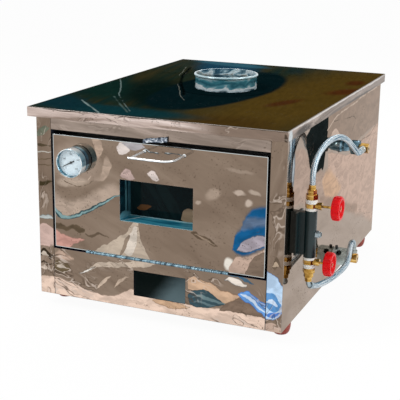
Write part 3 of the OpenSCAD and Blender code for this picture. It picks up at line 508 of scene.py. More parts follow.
def polished(name, way, tones, streak_turn=25, streak=(0.22, 0.07), waves=((7, 0.02), (31, 0.006)),
             shapes=(), patches=(), lines=(), reflection_creases=0.0, ripple=0.12,
             speck_tone=(0.09, 0.06, 0.04), specks=0.6, rough=0.05, edge_tint=(0.45, 0.45, 0.45),
             dent=0.0006, metallic=1.0, shine=0.5, dulled=0,
             border=None):
    """Mirror-polished sheet whose colour is painted reflection: what a buckled mirror shows of a
    workshop, in tones, shapes, patches, lines, crease lines and shimmer, over real specks of dirt.
    """
    recipe = new_finish(name)
    turn, stretch, spot, axes = flat_ways[way]
    place = recipe.node("ShaderNodeTexCoord", output="Object")
    flat = recipe.node("ShaderNodeMapping", {}, {"Vector": place, "Scale": spot(1, 1)})
    bent = buckled(flat, waves)
    lean = turn(math.radians(streak_turn))
    # The sheet's colour is painted reflection: the workshop's tones as the buckled mirror shows
    # them.
    field = cloudy(turned(bent, (0, 0, 0), lean, stretch(*streak)), 1.0, 3, 0.5, 0.8)
    colour = recipe.node("ShaderNodeValToRGB", {"stops": tones}, {"Fac": field})
    colour = with_patches(colour, bent, way, patches)
    colour = with_shapes(colour, bent, way, shapes)
    # Painted reflections of bars, hoses and edges, drawn as lines.
    for points, half_width, soft, tone in lines:
        gap = line_distance(bent, way, points)
        colour = tinted(eased(gap, half_width * (1 + soft), half_width * (1 - soft)),
                        colour, tone)
    # Painted reflection: dark and pale crease lines where the buckled mirror folds what it shows.
    if reflection_creases:
        swirl = cloudy(turned(bent, (0, 0, 0), lean, stretch(0.085, 0.032)), 1, 2, 0.5, 1.2)
        busy = eased(cloudy(flat, 9, 1), 0.47, 0.6) * reflection_creases
        dark_line = eased(abs(swirl - 0.5), 0.026, 0.004) * busy
        pale_line = eased(abs(swirl - 0.545), 0.022, 0.004) * busy
        colour = tinted(dark_line, colour, (0.085, 0.058, 0.040))
        colour = tinted(pale_line, colour, (0.62, 0.52, 0.45))
    # Painted shimmer: the reflection brightens and darkens along the streaks.
    shimmer = cloudy(turned(bent, (0, 0, 0), lean, stretch(0.05, 0.012)), 1.0, 3, 0.6, 0.5)
    colour = vectors("SCALE", colour, scale=(1 - ripple) + 2 * ripple * shimmer)
    dirt = cloudy(place, 210, 2, 0.6)
    where = cloudy(place, 17, 2, 0.6)
    dirty = eased(dirt, 0.615, 0.665) * eased(where, 0.49, 0.60) * specks
    colour = tinted(dirty, colour, speck_tone)
    smudge = cloudy(place, 12, 4, 0.65, 0.4)
    if border:  # light or shade caught by the fold round the sheet
        centre, half, width, tone = border
        parted = recipe.node("ShaderNodeSeparateXYZ", {}, {"Vector": flat})
        gaps = [abs(parted.beside(axis) - centre[i]) - (half[i] - width)
                for i, axis in enumerate(axes)]
        colour = tinted(eased(gaps[0].math("MAXIMUM", *gaps), 0, 0.0005), colour, tone)
    if dulled:  # a mirror at a flat angle keeps what is dark in it dark
        level = recipe.node("ShaderNodeRGBToBW", {}, {"Color": colour})
        metallic = metallic * eased(level, 0.2 * dulled, dulled)
    return shaded(
        recipe,
        {"Base Color": colour, "Metallic": metallic, "Specular IOR Level": shine,
         "Roughness": rough + 0.05 * eased(smudge, 0.5, 0.75) + 0.2 * dirty,
         "Specular Tint": edge_tint},
        cloudy(place, 5.5, 2, 0.4), dent)


# The tones, shapes and lines below are painted reflections: what the mirror sheets show of the
# floor, walls and things round them.
taupe_reflection_tones = [(0.28, (0.182, 0.130, 0.094)), (0.44, (0.222, 0.162, 0.120)),
               (0.58, (0.244, 0.180, 0.134)), (0.74, (0.310, 0.236, 0.182))]
workshop_reflection_tones = [(0.26, (0.020, 0.022, 0.022)), (0.36, (0.115, 0.085, 0.062)),
                  (0.44, (0.262, 0.196, 0.150)), (0.53, (0.330, 0.262, 0.215)),
                  (0.60, (0.600, 0.480, 0.400)), (0.68, (0.710, 0.640, 0.590)),
                  (0.76, (0.380, 0.330, 0.300))]
floor_reflection_tone = (0.760, 0.575, 0.465)
tan_reflection_tone = (0.610, 0.410, 0.275)
floor_reflection_edge = [
    (-0.349, 0.010, 0.064), (-0.334, 0.010, 0.067), (-0.311, 0.010, 0.072),
    (-0.270, 0.010, 0.067), (-0.226, 0.010, 0.056), (-0.182, 0.010, 0.050),
    (-0.147, 0.010, 0.052), (-0.117, 0.010, 0.067), (-0.095, 0.010, 0.073),
    (-0.053, 0.010, 0.063), (0.029, 0.010, 0.064), (0.070, 0.010, 0.062),
    (0.110, 0.010, 0.065), (0.149, 0.010, 0.066), (0.188, 0.010, 0.062),
    (0.262, 0.010, 0.064)]
lower_front_shapes = [
    (0.002, 0.002, floor_reflection_tone, (0.36, 0.26, 0.20), floor_reflection_edge),
    (0.001, 0.001, (0.520, 0.425, 0.340), (0.17, 0.12, 0.085), [
        (-0.238, 0.093, 0.095), (-0.216, 0.100, 0.110), (-0.193, 0.113, 0.127),
        (-0.159, 0.117, 0.134), (-0.120, 0.125, 0.140), (-0.078, 0.129, 0.146),
        (-0.045, 0.143, 0.146)]),
    (0.001, 0.001, (0.820, 0.780, 0.720), (0.10, 0.075, 0.055), [
        (-0.240, 0.093, 0.095), (-0.226, 0.096, 0.102), (-0.208, 0.107, 0.112),
        (-0.196, 0.115, 0.117)]),
    (0.0015, 0.004, (0.560, 0.440, 0.345), (0.20, 0.145, 0.105), [
        (-0.194, 0.060, 0.062), (-0.183, 0.067, 0.082), (-0.168, 0.084, 0.094),
        (-0.155, 0.095, 0.097)]),
    (0.002, 0.001, (0.480, 0.372, 0.290), (0.20, 0.145, 0.105), [
        (-0.150, 0.066, 0.068), (-0.142, 0.076, 0.089), (-0.126, 0.092, 0.101),
        (-0.104, 0.104, 0.106)]),
    (0.001, 0.001, tan_reflection_tone, (0.22, 0.13, 0.08), [
        (0.0375, 0.096, 0.125), (0.053, 0.096, 0.128), (0.073, 0.094, 0.123),
        (0.093, 0.086, 0.118), (0.113, 0.076, 0.111), (0.133, 0.077, 0.107),
        (0.160, 0.098, 0.101)]),
    (0.001, 0.001, (0.640, 0.420, 0.270), (0.30, 0.19, 0.12), [
        (-0.053, 0.050, 0.054), (-0.028, 0.046, 0.060), (0.005, 0.045, 0.060),
        (0.029, 0.051, 0.060), (0.041, 0.056, 0.058)]),
    (0.001, 0.001, (0.048, 0.090, 0.110), (0.020, 0.040, 0.050), [
        (0.037, 0.079, 0.083), (0.045, 0.062, 0.096), (0.069, 0.060, 0.101),
        (0.093, 0.064, 0.096), (0.109, 0.071, 0.087), (0.123, 0.075, 0.077)]),
    (0.001, 0.001, (0.150, 0.225, 0.240), None, [
        (0.046, 0.079, 0.080), (0.062, 0.084, 0.090), (0.084, 0.079, 0.086),
        (0.102, 0.077, 0.083), (0.140, 0.076, 0.077)]),
    (0.001, 0.001, (0.128, 0.195, 0.215), None, [
        (0.050, 0.068, 0.069), (0.068, 0.071, 0.076), (0.090, 0.066, 0.072),
        (0.104, 0.069, 0.070)]),
    (0.001, 0.002, (0.215, 0.150, 0.110), (0.12, 0.080, 0.055), [
        (0.113, 0.060, 0.064), (0.129, 0.061, 0.083), (0.148, 0.062, 0.094),
        (0.172, 0.061, 0.092), (0.195, 0.060, 0.078), (0.226, 0.060, 0.069)]),
    (0.001, 0.001, (0.140, 0.330, 0.700), (0.035, 0.125, 0.420), [
        (0.153, 0.101, 0.105), (0.171, 0.090, 0.113), (0.187, 0.083, 0.107),
        (0.202, 0.073, 0.101), (0.214, 0.066, 0.098), (0.228, 0.061, 0.094)]),
    (0.001, 0.001, (0.640, 0.760, 0.920), None, [
        (0.160, 0.103, 0.105), (0.178, 0.096, 0.103), (0.196, 0.084, 0.093),
        (0.222, 0.072, 0.074)]),
    (0.001, 0.001, (0.780, 0.700, 0.620), (0.10, 0.095, 0.095), [
        (0.122, 0.131, 0.133), (0.135, 0.127, 0.140), (0.151, 0.123, 0.137),
        (0.172, 0.122, 0.128)]),
    (0.001, 0.001, (0.060, 0.130, 0.200), None, [
        (0.130, 0.143, 0.144), (0.155, 0.139, 0.144), (0.178, 0.132, 0.138),
        (0.190, 0.133, 0.134)]),
    (0.003, 0.003, (0.560, 0.400, 0.310), None, [
        (-0.302, 0.130, 0.133), (-0.290, 0.122, 0.142), (-0.270, 0.121, 0.134),
        (-0.254, 0.125, 0.127)]),
    (0.001, 0.001, (0.150, 0.110, 0.062), (0.060, 0.042, 0.025), [
        (-0.302, 0.088, 0.112), (-0.288, 0.085, 0.120), (-0.272, 0.088, 0.114),
        (-0.262, 0.098, 0.100)]),
    (0.001, 0.001, (0.560, 0.480, 0.400), None, [
        (-0.297, 0.098, 0.100), (-0.288, 0.096, 0.106), (-0.275, 0.098, 0.101)]),
]
stile_shapes = [
    (0.002, 0.002, floor_reflection_tone, (0.30, 0.22, 0.16), [
        (-0.352, 0.010, 0.063), (-0.335, 0.010, 0.070), (-0.304, 0.010, 0.072)]),
    (0.002, 0.002, (0.480, 0.350, 0.280), (0.20, 0.15, 0.11), [
        (0.215, 0.010, 0.046), (0.238, 0.010, 0.053), (0.262, 0.010, 0.044)]),
    (0.001, 0.001, (0.500, 0.670, 0.870), (0.045, 0.150, 0.400), [
        (0.216, 0.060, 0.166), (0.224, 0.060, 0.163), (0.236, 0.060, 0.155),
        (0.247, 0.064, 0.147), (0.262, 0.082, 0.130)]),
    (0.001, 0.001, (0.110, 0.290, 0.580), None, [
        (0.218, 0.090, 0.118), (0.230, 0.082, 0.120), (0.243, 0.078, 0.112),
        (0.256, 0.088, 0.092)]),
    (0.001, 0.001, (0.620, 0.740, 0.920), None, [
        (0.220, 0.098, 0.100), (0.232, 0.094, 0.106), (0.246, 0.090, 0.094)]),
    (0.001, 0.001, (0.070, 0.200, 0.560), None, [
        (0.219, 0.068, 0.070), (0.233, 0.064, 0.076), (0.250, 0.070, 0.078),
        (0.258, 0.080, 0.082)]),
    (0.0005, 0.001, (0.160, 0.115, 0.080), None, [
        (0.228, 0.176, 0.178), (0.236, 0.172, 0.196), (0.243, 0.180, 0.200),
        (0.250, 0.176, 0.178)]),
    (0.0005, 0.0005, (0.520, 0.400, 0.290), None, [
        (0.229, 0.178, 0.179), (0.237, 0.178, 0.190), (0.245, 0.181, 0.182)]),
    (0.002, 0.002, (0.560, 0.400, 0.350), (0.26, 0.18, 0.14), [
        (-0.350, 0.140, 0.196), (-0.338, 0.142, 0.202), (-0.320, 0.146, 0.199),
        (-0.306, 0.150, 0.190)]),
    (0.001, 0.001, (0.480, 0.520, 0.510), (0.16, 0.17, 0.16), [
        (-0.350, 0.213, 0.216), (-0.335, 0.213, 0.222), (-0.318, 0.215, 0.226),
        (-0.306, 0.217, 0.220)]),
    (0.0005, 0.0005, (0.045, 0.032, 0.020), None, [
        (-0.349, 0.121, 0.123), (-0.340, 0.118, 0.134), (-0.328, 0.126, 0.139),
        (-0.316, 0.112, 0.130), (-0.307, 0.124, 0.126)]),
    (0.0005, 0.0005, (0.560, 0.480, 0.400), None, [
        (-0.343, 0.121, 0.123), (-0.332, 0.119, 0.131), (-0.320, 0.121, 0.124)]),
    (0.0005, 0.0005, (0.070, 0.050, 0.032), None, [
        (-0.349, 0.098, 0.100), (-0.335, 0.102, 0.108), (-0.318, 0.096, 0.101),
        (-0.306, 0.104, 0.106)]),
    (0.0005, 0.0005, (0.600, 0.500, 0.420), None, [
        (-0.345, 0.088, 0.090), (-0.330, 0.086, 0.095), (-0.312, 0.086, 0.088)]),
    (0.0005, 0.002, (0.060, 0.045, 0.022), None, [
        (-0.350, 0.297, 0.299), (-0.338, 0.293, 0.302), (-0.322, 0.297, 0.306),
        (-0.308, 0.306, 0.308)]),
    (0.0005, 0.0005, (0.150, 0.108, 0.070), None, [
        (-0.350, 0.338, 0.340), (-0.330, 0.337, 0.340), (-0.308, 0.340, 0.342)]),
    (0.0005, 0.0005, (0.150, 0.108, 0.070), None, [
        (-0.350, 0.351, 0.353), (-0.330, 0.351, 0.354), (-0.308, 0.353, 0.355)]),
    (0.0005, 0.0005, (0.480, 0.450, 0.400), None, [
        (-0.350, 0.367, 0.369), (-0.330, 0.367, 0.370), (-0.308, 0.369, 0.371)]),
    (0.0005, 0.0005, (0.085, 0.062, 0.036), None, [
        (-0.350, 0.383, 0.385), (-0.336, 0.381, 0.388), (-0.320, 0.384, 0.387),
        (-0.308, 0.386, 0.388)]),
    (0.001, 0.001, (0.150, 0.165, 0.120), None, [
        (-0.350, 0.404, 0.408), (-0.335, 0.408, 0.424), (-0.322, 0.414, 0.434),
        (-0.308, 0.428, 0.430)]),
]
side_shapes = [
    (0.004, 0.003, (0.222, 0.160, 0.122), None, [
        (-0.109, 0.395, 0.456), (-0.080, 0.393, 0.462), (0.020, 0.376, 0.470),
        (0.152, 0.338, 0.470), (0.255, 0.342, 0.470), (0.430, 0.345, 0.470)]),
    (0.012, 0.003, (0.520, 0.375, 0.310), (0.400, 0.280, 0.220), [
        (-0.070, 0.313, 0.364), (0.063, 0.222, 0.334), (0.151, 0.171, 0.318),
        (0.221, 0.137, 0.331), (0.333, 0.100, 0.338), (0.460, 0.049, 0.345)]),
    (0.010, 0.004, (0.400, 0.295, 0.245), None, [
        (-0.330, 0.300, 0.425), (-0.267, 0.291, 0.415), (-0.213, 0.275, 0.371),
        (-0.129, 0.251, 0.339), (-0.050, 0.227, 0.313)]),
    (0.010, 0.010, (0.580, 0.370, 0.230), None, [
        (-0.112, 0.304, 0.308), (-0.080, 0.258, 0.323), (-0.027, 0.242, 0.309),
        (0.021, 0.235, 0.282), (0.065, 0.249, 0.251)]),
    (0.006, 0.006, (0.300, 0.205, 0.155), None, [
        (-0.125, 0.258, 0.272), (-0.035, 0.222, 0.250), (0.095, 0.181, 0.204),
        (0.245, 0.135, 0.160)]),
    (0.003, 0.002, (0.010, 0.014, 0.014), (0.030, 0.032, 0.030), [
        (-0.256, 0.418, 0.444), (-0.220, 0.367, 0.458), (-0.173, 0.341, 0.462),
        (-0.126, 0.340, 0.466), (-0.102, 0.344, 0.466), (-0.083, 0.421, 0.464)]),
    (0.001, 0.001, (0.560, 0.440, 0.370), None, [
        (-0.085, 0.372, 0.376), (-0.040, 0.372, 0.412), (0.010, 0.366, 0.402),
        (0.060, 0.362, 0.366)]),
]
side_lines = [
    ([(-0.035, 0.435), (0.018, 0.429), (0.065, 0.423), (0.156, 0.415), (0.177, 0.402),
      (0.151, 0.382), (0.125, 0.365)], 0.0016, 0.6, (0.085, 0.062, 0.045)),
    ([(-0.089, 0.423), (-0.014, 0.443), (0.108, 0.448), (0.243, 0.449), (0.392, 0.449)],
     0.0018, 0.7, (0.560, 0.460, 0.390)),
    ([(0.201, 0.324), (0.270, 0.333), (0.345, 0.327), (0.418, 0.345)],
     0.0016, 0.7, (0.150, 0.105, 0.075)),
    ([(0.322, 0.111), (0.403, 0.094), (0.440, 0.075), (0.391, 0.063)],
     0.0012, 0.7, (0.200, 0.160, 0.130)),
    # Painted reflection of the upper hose in the side sheet.
    ([(-0.355, 0.452), (-0.353, 0.424), (-0.348, 0.394), (-0.350, 0.362)],
     0.0185, 0.15, (0.070, 0.130, 0.190)),
    ([(-0.364, 0.450), (-0.362, 0.424), (-0.356, 0.394), (-0.358, 0.362)],
     0.0055, 0.5, (0.560, 0.680, 0.760)),
    ([(-0.346, 0.450), (-0.344, 0.424), (-0.339, 0.394), (-0.341, 0.362)],
     0.0040, 0.5, (0.420, 0.540, 0.620)),
]
side_tones = [(0.30, (0.270, 0.228, 0.198)), (0.45, (0.330, 0.282, 0.246)),
              (0.58, (0.362, 0.315, 0.282)), (0.74, (0.440, 0.372, 0.330))]
panel_waves = ((9, 0.014), (38, 0.010), (120, 0.004))
front_steel = polished("front_steel", "front", taupe_reflection_tones, -20, (0.20, 0.05),
                       panel_waves, lower_front_shapes, reflection_creases=0.75, ripple=0.16)
stile_steel = polished("stile_steel", "front", taupe_reflection_tones, 80, (0.16, 0.04),
                       panel_waves, stile_shapes, reflection_creases=0.6)
rail_steel = polished("rail_steel", "front",
                      [(0.32, (0.212, 0.165, 0.132)), (0.45, (0.268, 0.212, 0.176)),
                       (0.58, (0.330, 0.262, 0.220)), (0.70, (0.470, 0.375, 0.325))],
                      -5, (0.22, 0.020), ((8, 0.012), (40, 0.006), (120, 0.002)),
                      reflection_creases=0.25)
right_steel = polished("right_steel", "side", side_tones, -15, (0.20, 0.06),
                       ((6, 0.012), (34, 0.006), (110, 0.002)), side_shapes, (), side_lines,
                       specks=1.0, rough=0.02, edge_tint=(0.83, 0.75, 0.69), dent=0.0002,
                       shine=0.0, dulled=0.10)
workshop_steel = polished("left_steel", "side", workshop_reflection_tones, 35, (0.34, 0.12),
                          ((4, 0.06), (15, 0.016), (60, 0.005)), reflection_creases=0.2,
                          edge_tint=(0.6, 0.6, 0.6))
back_steel = polished("back_steel", "front", workshop_reflection_tones, -40, (0.36, 0.13),
                      ((4, 0.06), (15, 0.016), (60, 0.005)), reflection_creases=0.2, rough=0.06,
                      edge_tint=(0.6, 0.6, 0.6))


def shadow_steel(name, tone):
    """Painted shade: steel deep in a gap, where it shows only the dark between the sheets. Given a
    pale tone, it paints a highlight instead.
    """
    recipe = new_finish(name)
    place = recipe.node("ShaderNodeTexCoord", output="Object")
    mottle = cloudy(place, 30, 3)
    dark = tuple(0.45 * c for c in tone)
    return shaded(recipe, {"Base Color": tinted(eased(mottle, 0.3, 0.7), dark, tone),
                           "Metallic": 0.1, "Specular IOR Level": 0.05,
                           "Roughness": 0.5 + 0.2 * mottle})


# Painted shade for faces deep in gaps and behind folds; the jamb's shade is a lighter navy.
gap_shade = shadow_steel("gap_shade", (0.004, 0.006, 0.018))
jamb_shade = shadow_steel("jamb_shade", (0.045, 0.052, 0.075))

for node, name, side in (("left_side", "left_sheet", -1), ("right_side", "right_sheet", 1)):
    sheet = eased_copy(node, name, 0.0008)
    lowest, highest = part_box(node)
    outer = lowest.x if side < 0 else highest.x
    skin = workshop_steel if side < 0 else right_steel
    dress_faces(
        sheet, {"stile": stile_steel, "side": skin, "back": back_steel, "jamb": jamb_shade},
        lambda centre, normal: "side" if abs(centre.x - outer) < 0.0012
        else "stile" if centre.y < -0.3795
        else "back" if centre.y > highest.y - 0.0012 else "jamb")
lower_sheet = eased_copy("lower_panel", "lower_sheet", 0.0008)
# Every face but the front, the rounded edges too, gets the painted gap shade.
dress_faces(lower_sheet, {"front": front_steel, "gap": gap_shade},
            lambda centre, normal: "front" if normal.y < -0.97 and centre.y < -0.3795
            else "gap")
rail_sheet = eased_copy("top_rail", "rail_sheet", 0.0008)
dress_faces(rail_sheet, {"rail": rail_steel, "jamb": jamb_shade},
            lambda centre, normal: "rail" if centre.y < -0.3795 else "jamb")
dress("back_panel", back_steel)


def pan_painted_daylight():
    """The pan's floor as the lighting opening shows it: a painted glow, emitted by the pan itself,
    stands for daylight falling in from the right.
    """
    recipe = new_finish("pan_painted_daylight")
    place = recipe.node("ShaderNodeTexCoord", output="Object")
    mottle = cloudy(place, 22, 3, 0.6)
    parted = recipe.node("ShaderNodeSeparateXYZ", {}, {"Vector": place})
    lit = eased(parted - 0.17 * (parted.beside("Y") + 0.32) * -1 + 0.02 * (mottle - 0.5),
                -0.100, -0.035)
    near = eased(parted.beside("Y"), -0.10, -0.30)
    # Painted light: the pan glows faintly where daylight would fall on it.
    glow = tinted(lit * (0.35 + 0.65 * near), (0.002, 0.004, 0.004), (0.085, 0.125, 0.138))
    return shaded(recipe, {"Base Color": tinted(mottle, (0.10, 0.12, 0.12), (0.20, 0.24, 0.25)),
                           "Metallic": 0.5, "Roughness": 0.35 + 0.2 * mottle,
                           "Emission Color": glow, "Emission Strength": 1.0})


# Painted reflections of the workshop on the pan's outside.
pan_steel = polished("pan_steel", "top", workshop_reflection_tones, 20, (0.34, 0.12),
                     ((4, 0.06), (15, 0.016)), rough=0.16)
pan_sheet = eased_copy("bottom_pan", "pan_sheet", 0.0006)
pan_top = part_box("bottom_pan")[0].z + 0.0015
dress_faces(pan_sheet, {"floor": pan_painted_daylight(), "outside": pan_steel, "gap": gap_shade},
            lambda centre, normal: "floor"
            if normal.z > 0.9 and abs(centre.z - pan_top) < 0.0006
            else "gap" if centre.z > pan_top + 0.001 else "outside")


# Lid
# A mirror sheet with a 22 mm turned-down lip that overhangs the cabinet; it is
# dished a little round the flue, and its colour is a painted reflection of the dark ceiling of the
# workshop.

# Painted reflections in the lid: dark ceiling, brown and teal patches and a dark disc round the
# flue.
lid_patches = [
    (0.20, 0.02, 0.170, 0.62, -8, 1.0, (0.082, 0.049, 0.009)),
    (0.120, -0.420, 0.110, 0.110, -18, 0.9, (0.062, 0.034, 0.007)),
    (-0.160, 0.330, 0.170, 0.080, -62, 0.8, (0.006, 0.050, 0.092)),
    (-0.161, -0.360, 0.190, 0.050, 0, 0.8, (0.005, 0.034, 0.040)),
    (-0.319, -0.311, 0.109, 0.052, -41, 0.9, (0.005, 0.028, 0.036)),
    (-0.306, -0.102, 0.152, 0.061, -65, 0.9, (0.005, 0.022, 0.017)),
    (-0.171, -0.112, 0.196, 0.072, -67, 0.9, (0.003, 0.010, 0.008)),
    (-0.050, 0.010, 0.128, 0.310, -3, 0.12, (0.0020, 0.010, 0.012)),
    (0.153, -0.104, 0.018, 0.060, -20, 1.0, (0.068, 0.024, 0.006)),
    (0.244, 0.111, 0.030, 0.060, -30, 1.0, (0.074, 0.024, 0.006)),
    (0.229, 0.254, 0.022, 0.040, 0, 1.0, (0.070, 0.023, 0.006)),
    (-0.180, 0.420, 0.110, 0.034, -12, 0.8, (0.024, 0.105, 0.150)),
]
reflected_crease_tone = (0.22, 0.30, 0.29)
# Painted reflection lines in the lid, dark and pale.
lid_lines = [
    ([(-0.366, 0.075), (-0.284, -0.081), (-0.248, -0.160), (-0.176, -0.273),
      (-0.121, -0.353)], 0.0016, 0.8, (0.15, 0.21, 0.20)),
    ([(-0.238, -0.202), (-0.178, -0.288), (-0.121, -0.366)], 0.0024, 0.8,
     (0.070, 0.115, 0.105)),
    ([(-0.280, -0.283), (-0.227, -0.341), (-0.170, -0.404)], 0.0024, 0.7, reflected_crease_tone),
    ([(-0.255, -0.306), (-0.205, -0.362)], 0.0014, 0.7, (0.10, 0.15, 0.14)),
    ([(-0.277, 0.308), (-0.231, 0.166), (-0.169, 0.014), (-0.103, -0.117),
      (-0.065, -0.181)], 0.0011, 0.8, (0.16, 0.17, 0.145)),
    ([(-0.248, 0.259), (-0.210, 0.139), (-0.161, 0.018)], 0.0008, 0.8,
     (0.40, 0.38, 0.34)),
    ([(-0.262, 0.300), (-0.219, 0.160), (-0.158, 0.010), (-0.096, -0.110)], 0.0040, 0.8,
     (0.001, 0.003, 0.003)),
]
lid_tones = [(0.30, (0.005, 0.020, 0.022)), (0.45, (0.010, 0.022, 0.015)),
             (0.55, (0.020, 0.024, 0.012)), (0.70, (0.034, 0.030, 0.012))]
lid_low, lid_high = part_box("lid")
lid_steel = polished("lid_steel", "top", lid_tones, -80, (0.5, 0.05),
                     ((5, 0.012), (26, 0.005), (90, 0.002)), (), lid_patches, lid_lines,
                     ripple=0.35, speck_tone=(0.10, 0.12, 0.12), specks=0.2, rough=0.03,
                     edge_tint=(0.05, 0.05, 0.05), dent=0.0003, metallic=0.3, shine=0.0,
                     border=(((lid_low.x + lid_high.x) / 2, (lid_low.y + lid_high.y) / 2),
                             ((lid_high.x - lid_low.x) / 2, (lid_high.y - lid_low.y) / 2),
                             0.0022, (0.300, 0.270, 0.250)))
# Painted reflections in the lips, with painted highlights where the lips meet at the corner and
# along the side lip's top edge.
lip_tones = [(0.30, (0.440, 0.345, 0.300)), (0.44, (0.560, 0.450, 0.400)),
             (0.56, (0.660, 0.540, 0.490)), (0.72, (0.800, 0.690, 0.640))]
lip_patches = [
    (0.185, 0.468, 0.125, 0.030, 0, 1.0, (0.235, 0.172, 0.134)),
    (-0.240, 0.462, 0.090, 0.004, 2, 0.9, (0.300, 0.225, 0.185)),
    (0.020, 0.463, 0.060, 0.003, -2, 0.9, (0.330, 0.250, 0.205)),
    (-0.040, 0.4794, 0.330, 0.0016, 0, 0.5, (0.110, 0.082, 0.064)),
    (0.2700, 0.468, 0.0035, 0.020, 0, 0.5, (0.930, 0.900, 0.880)),
    (0.2600, 0.464, 0.0040, 0.012, 12, 0.6, (0.070, 0.050, 0.036)),
]
lip_waves = ((9, 0.010), (45, 0.004), (140, 0.001))
lip_front_steel = polished("lip_front_steel", "front", lip_tones, -4, (0.20, 0.012),
                           lip_waves, (), lip_patches, reflection_creases=0.6, ripple=0.20)
lip_side_steel = polished("lip_side_steel", "side", [
    (0.34, (0.200, 0.150, 0.118)), (0.46, (0.330, 0.258, 0.215)),
    (0.58, (0.420, 0.330, 0.282)), (0.72, (0.660, 0.540, 0.470))],
    3, (0.22, 0.014), lip_waves, (), [
        (0.030, 0.4785, 0.460, 0.0034, 0, 0.5, (0.880, 0.820, 0.780)),
        (-0.300, 0.4650, 0.055, 0.0090, 0, 0.8, (0.060, 0.042, 0.030)),
        (-0.390, 0.4660, 0.012, 0.0140, 0, 0.6, (0.700, 0.760, 0.780)),
        (0.180, 0.4610, 0.150, 0.0035, 0, 0.8, (0.110, 0.080, 0.062))], reflection_creases=0.3, edge_tint=(0.7, 0.7, 0.7), ripple=0.08)
lid_sheet = eased_copy("lid", "lid_sheet", 0.0012, 3)
dress_faces(
    lid_sheet,
    {"top": lid_steel, "front": lip_front_steel, "side": lip_side_steel, "gap": gap_shade},
    lambda centre, normal: "top" if centre.z > lid_high.z - 0.0009
    else "front" if min(centre.y - lid_low.y, lid_high.y - centre.y) < 0.0013
    else "side" if min(centre.x - lid_low.x, lid_high.x - centre.x) < 0.0013
    else "gap")


# Baking chamber
# Dull stainless liner sheets, a fireclay stone on two angle runners, and
# mineral wool packed between the liner and the cabinet.

def dull_steel(name, tone, brush=(0.4, 0.004, 0.004)):
    """Rolled sheet that was never polished, browned by heat in places."""
    recipe = new_finish(name)
    place = recipe.node("ShaderNodeTexCoord", output="Object")
    grain = cloudy(turned(place, stretch=brush), 1, 3, 0.6)
    heat = cloudy(place, 7, 3, 0.6)
    colour = tinted(eased(grain, 0.35, 0.7), tuple(0.8 * c for c in tone), tone)
    colour = tinted(eased(heat, 0.52, 0.75) * 0.5, colour,
                    (0.9 * tone[0], 0.66 * tone[1], 0.4 * tone[2]))
    return shaded(recipe, {"Base Color": colour, "Metallic": 1.0,
                           "Roughness": 0.3 + 0.12 * grain}, grain, 0.0001)


liner = dull_steel("liner_sheet", (0.30, 0.31, 0.31))
for node in ("liner_left", "liner_right", "liner_back", "liner_roof", "front_sill",
             "deck_runners"):
    dress(node, liner)


def packed_wool():
    recipe = new_finish("packed_wool")
    place = recipe.node("ShaderNodeTexCoord", output="Object")
    fibre = cloudy(turned(place, stretch=(0.03, 0.03, 0.006)), 1, 5, 0.7, 1.5)
    colour = tinted(eased(fibre, 0.3, 0.7), (0.42, 0.34, 0.20), (0.72, 0.64, 0.44))
    return shaded(recipe, {"Base Color": colour, "Roughness": 0.95}, fibre, 0.003)


wool = packed_wool()
for node in ("side_insulation", "back_insulation", "top_insulation", "door_insulation"):
    dress(node, wool)


def fired_stone():
    recipe = new_finish("fired_stone")
    place = recipe.node("ShaderNodeTexCoord", output="Object")
    grit = cloudy(place, 240, 4, 0.7)
    baked = cloudy(place, 8, 3, 0.6)
    colour = tinted(eased(grit, 0.35, 0.7), (0.42, 0.33, 0.24), (0.62, 0.52, 0.40))
    colour = tinted(eased(baked, 0.55, 0.8) * 0.7, colour, (0.14, 0.09, 0.06))
    return shaded(recipe, {"Base Color": colour, "Roughness": 0.9}, grit, 0.0006)


dress("deck_stone", fired_stone())


# Door
# An outer skin of mirror sheet folded round mineral wool, an inner sheet, a
# deep window reveal of bent sheet and a pane of toughened glass.

gauge_middle = (-0.2405, 0.362)
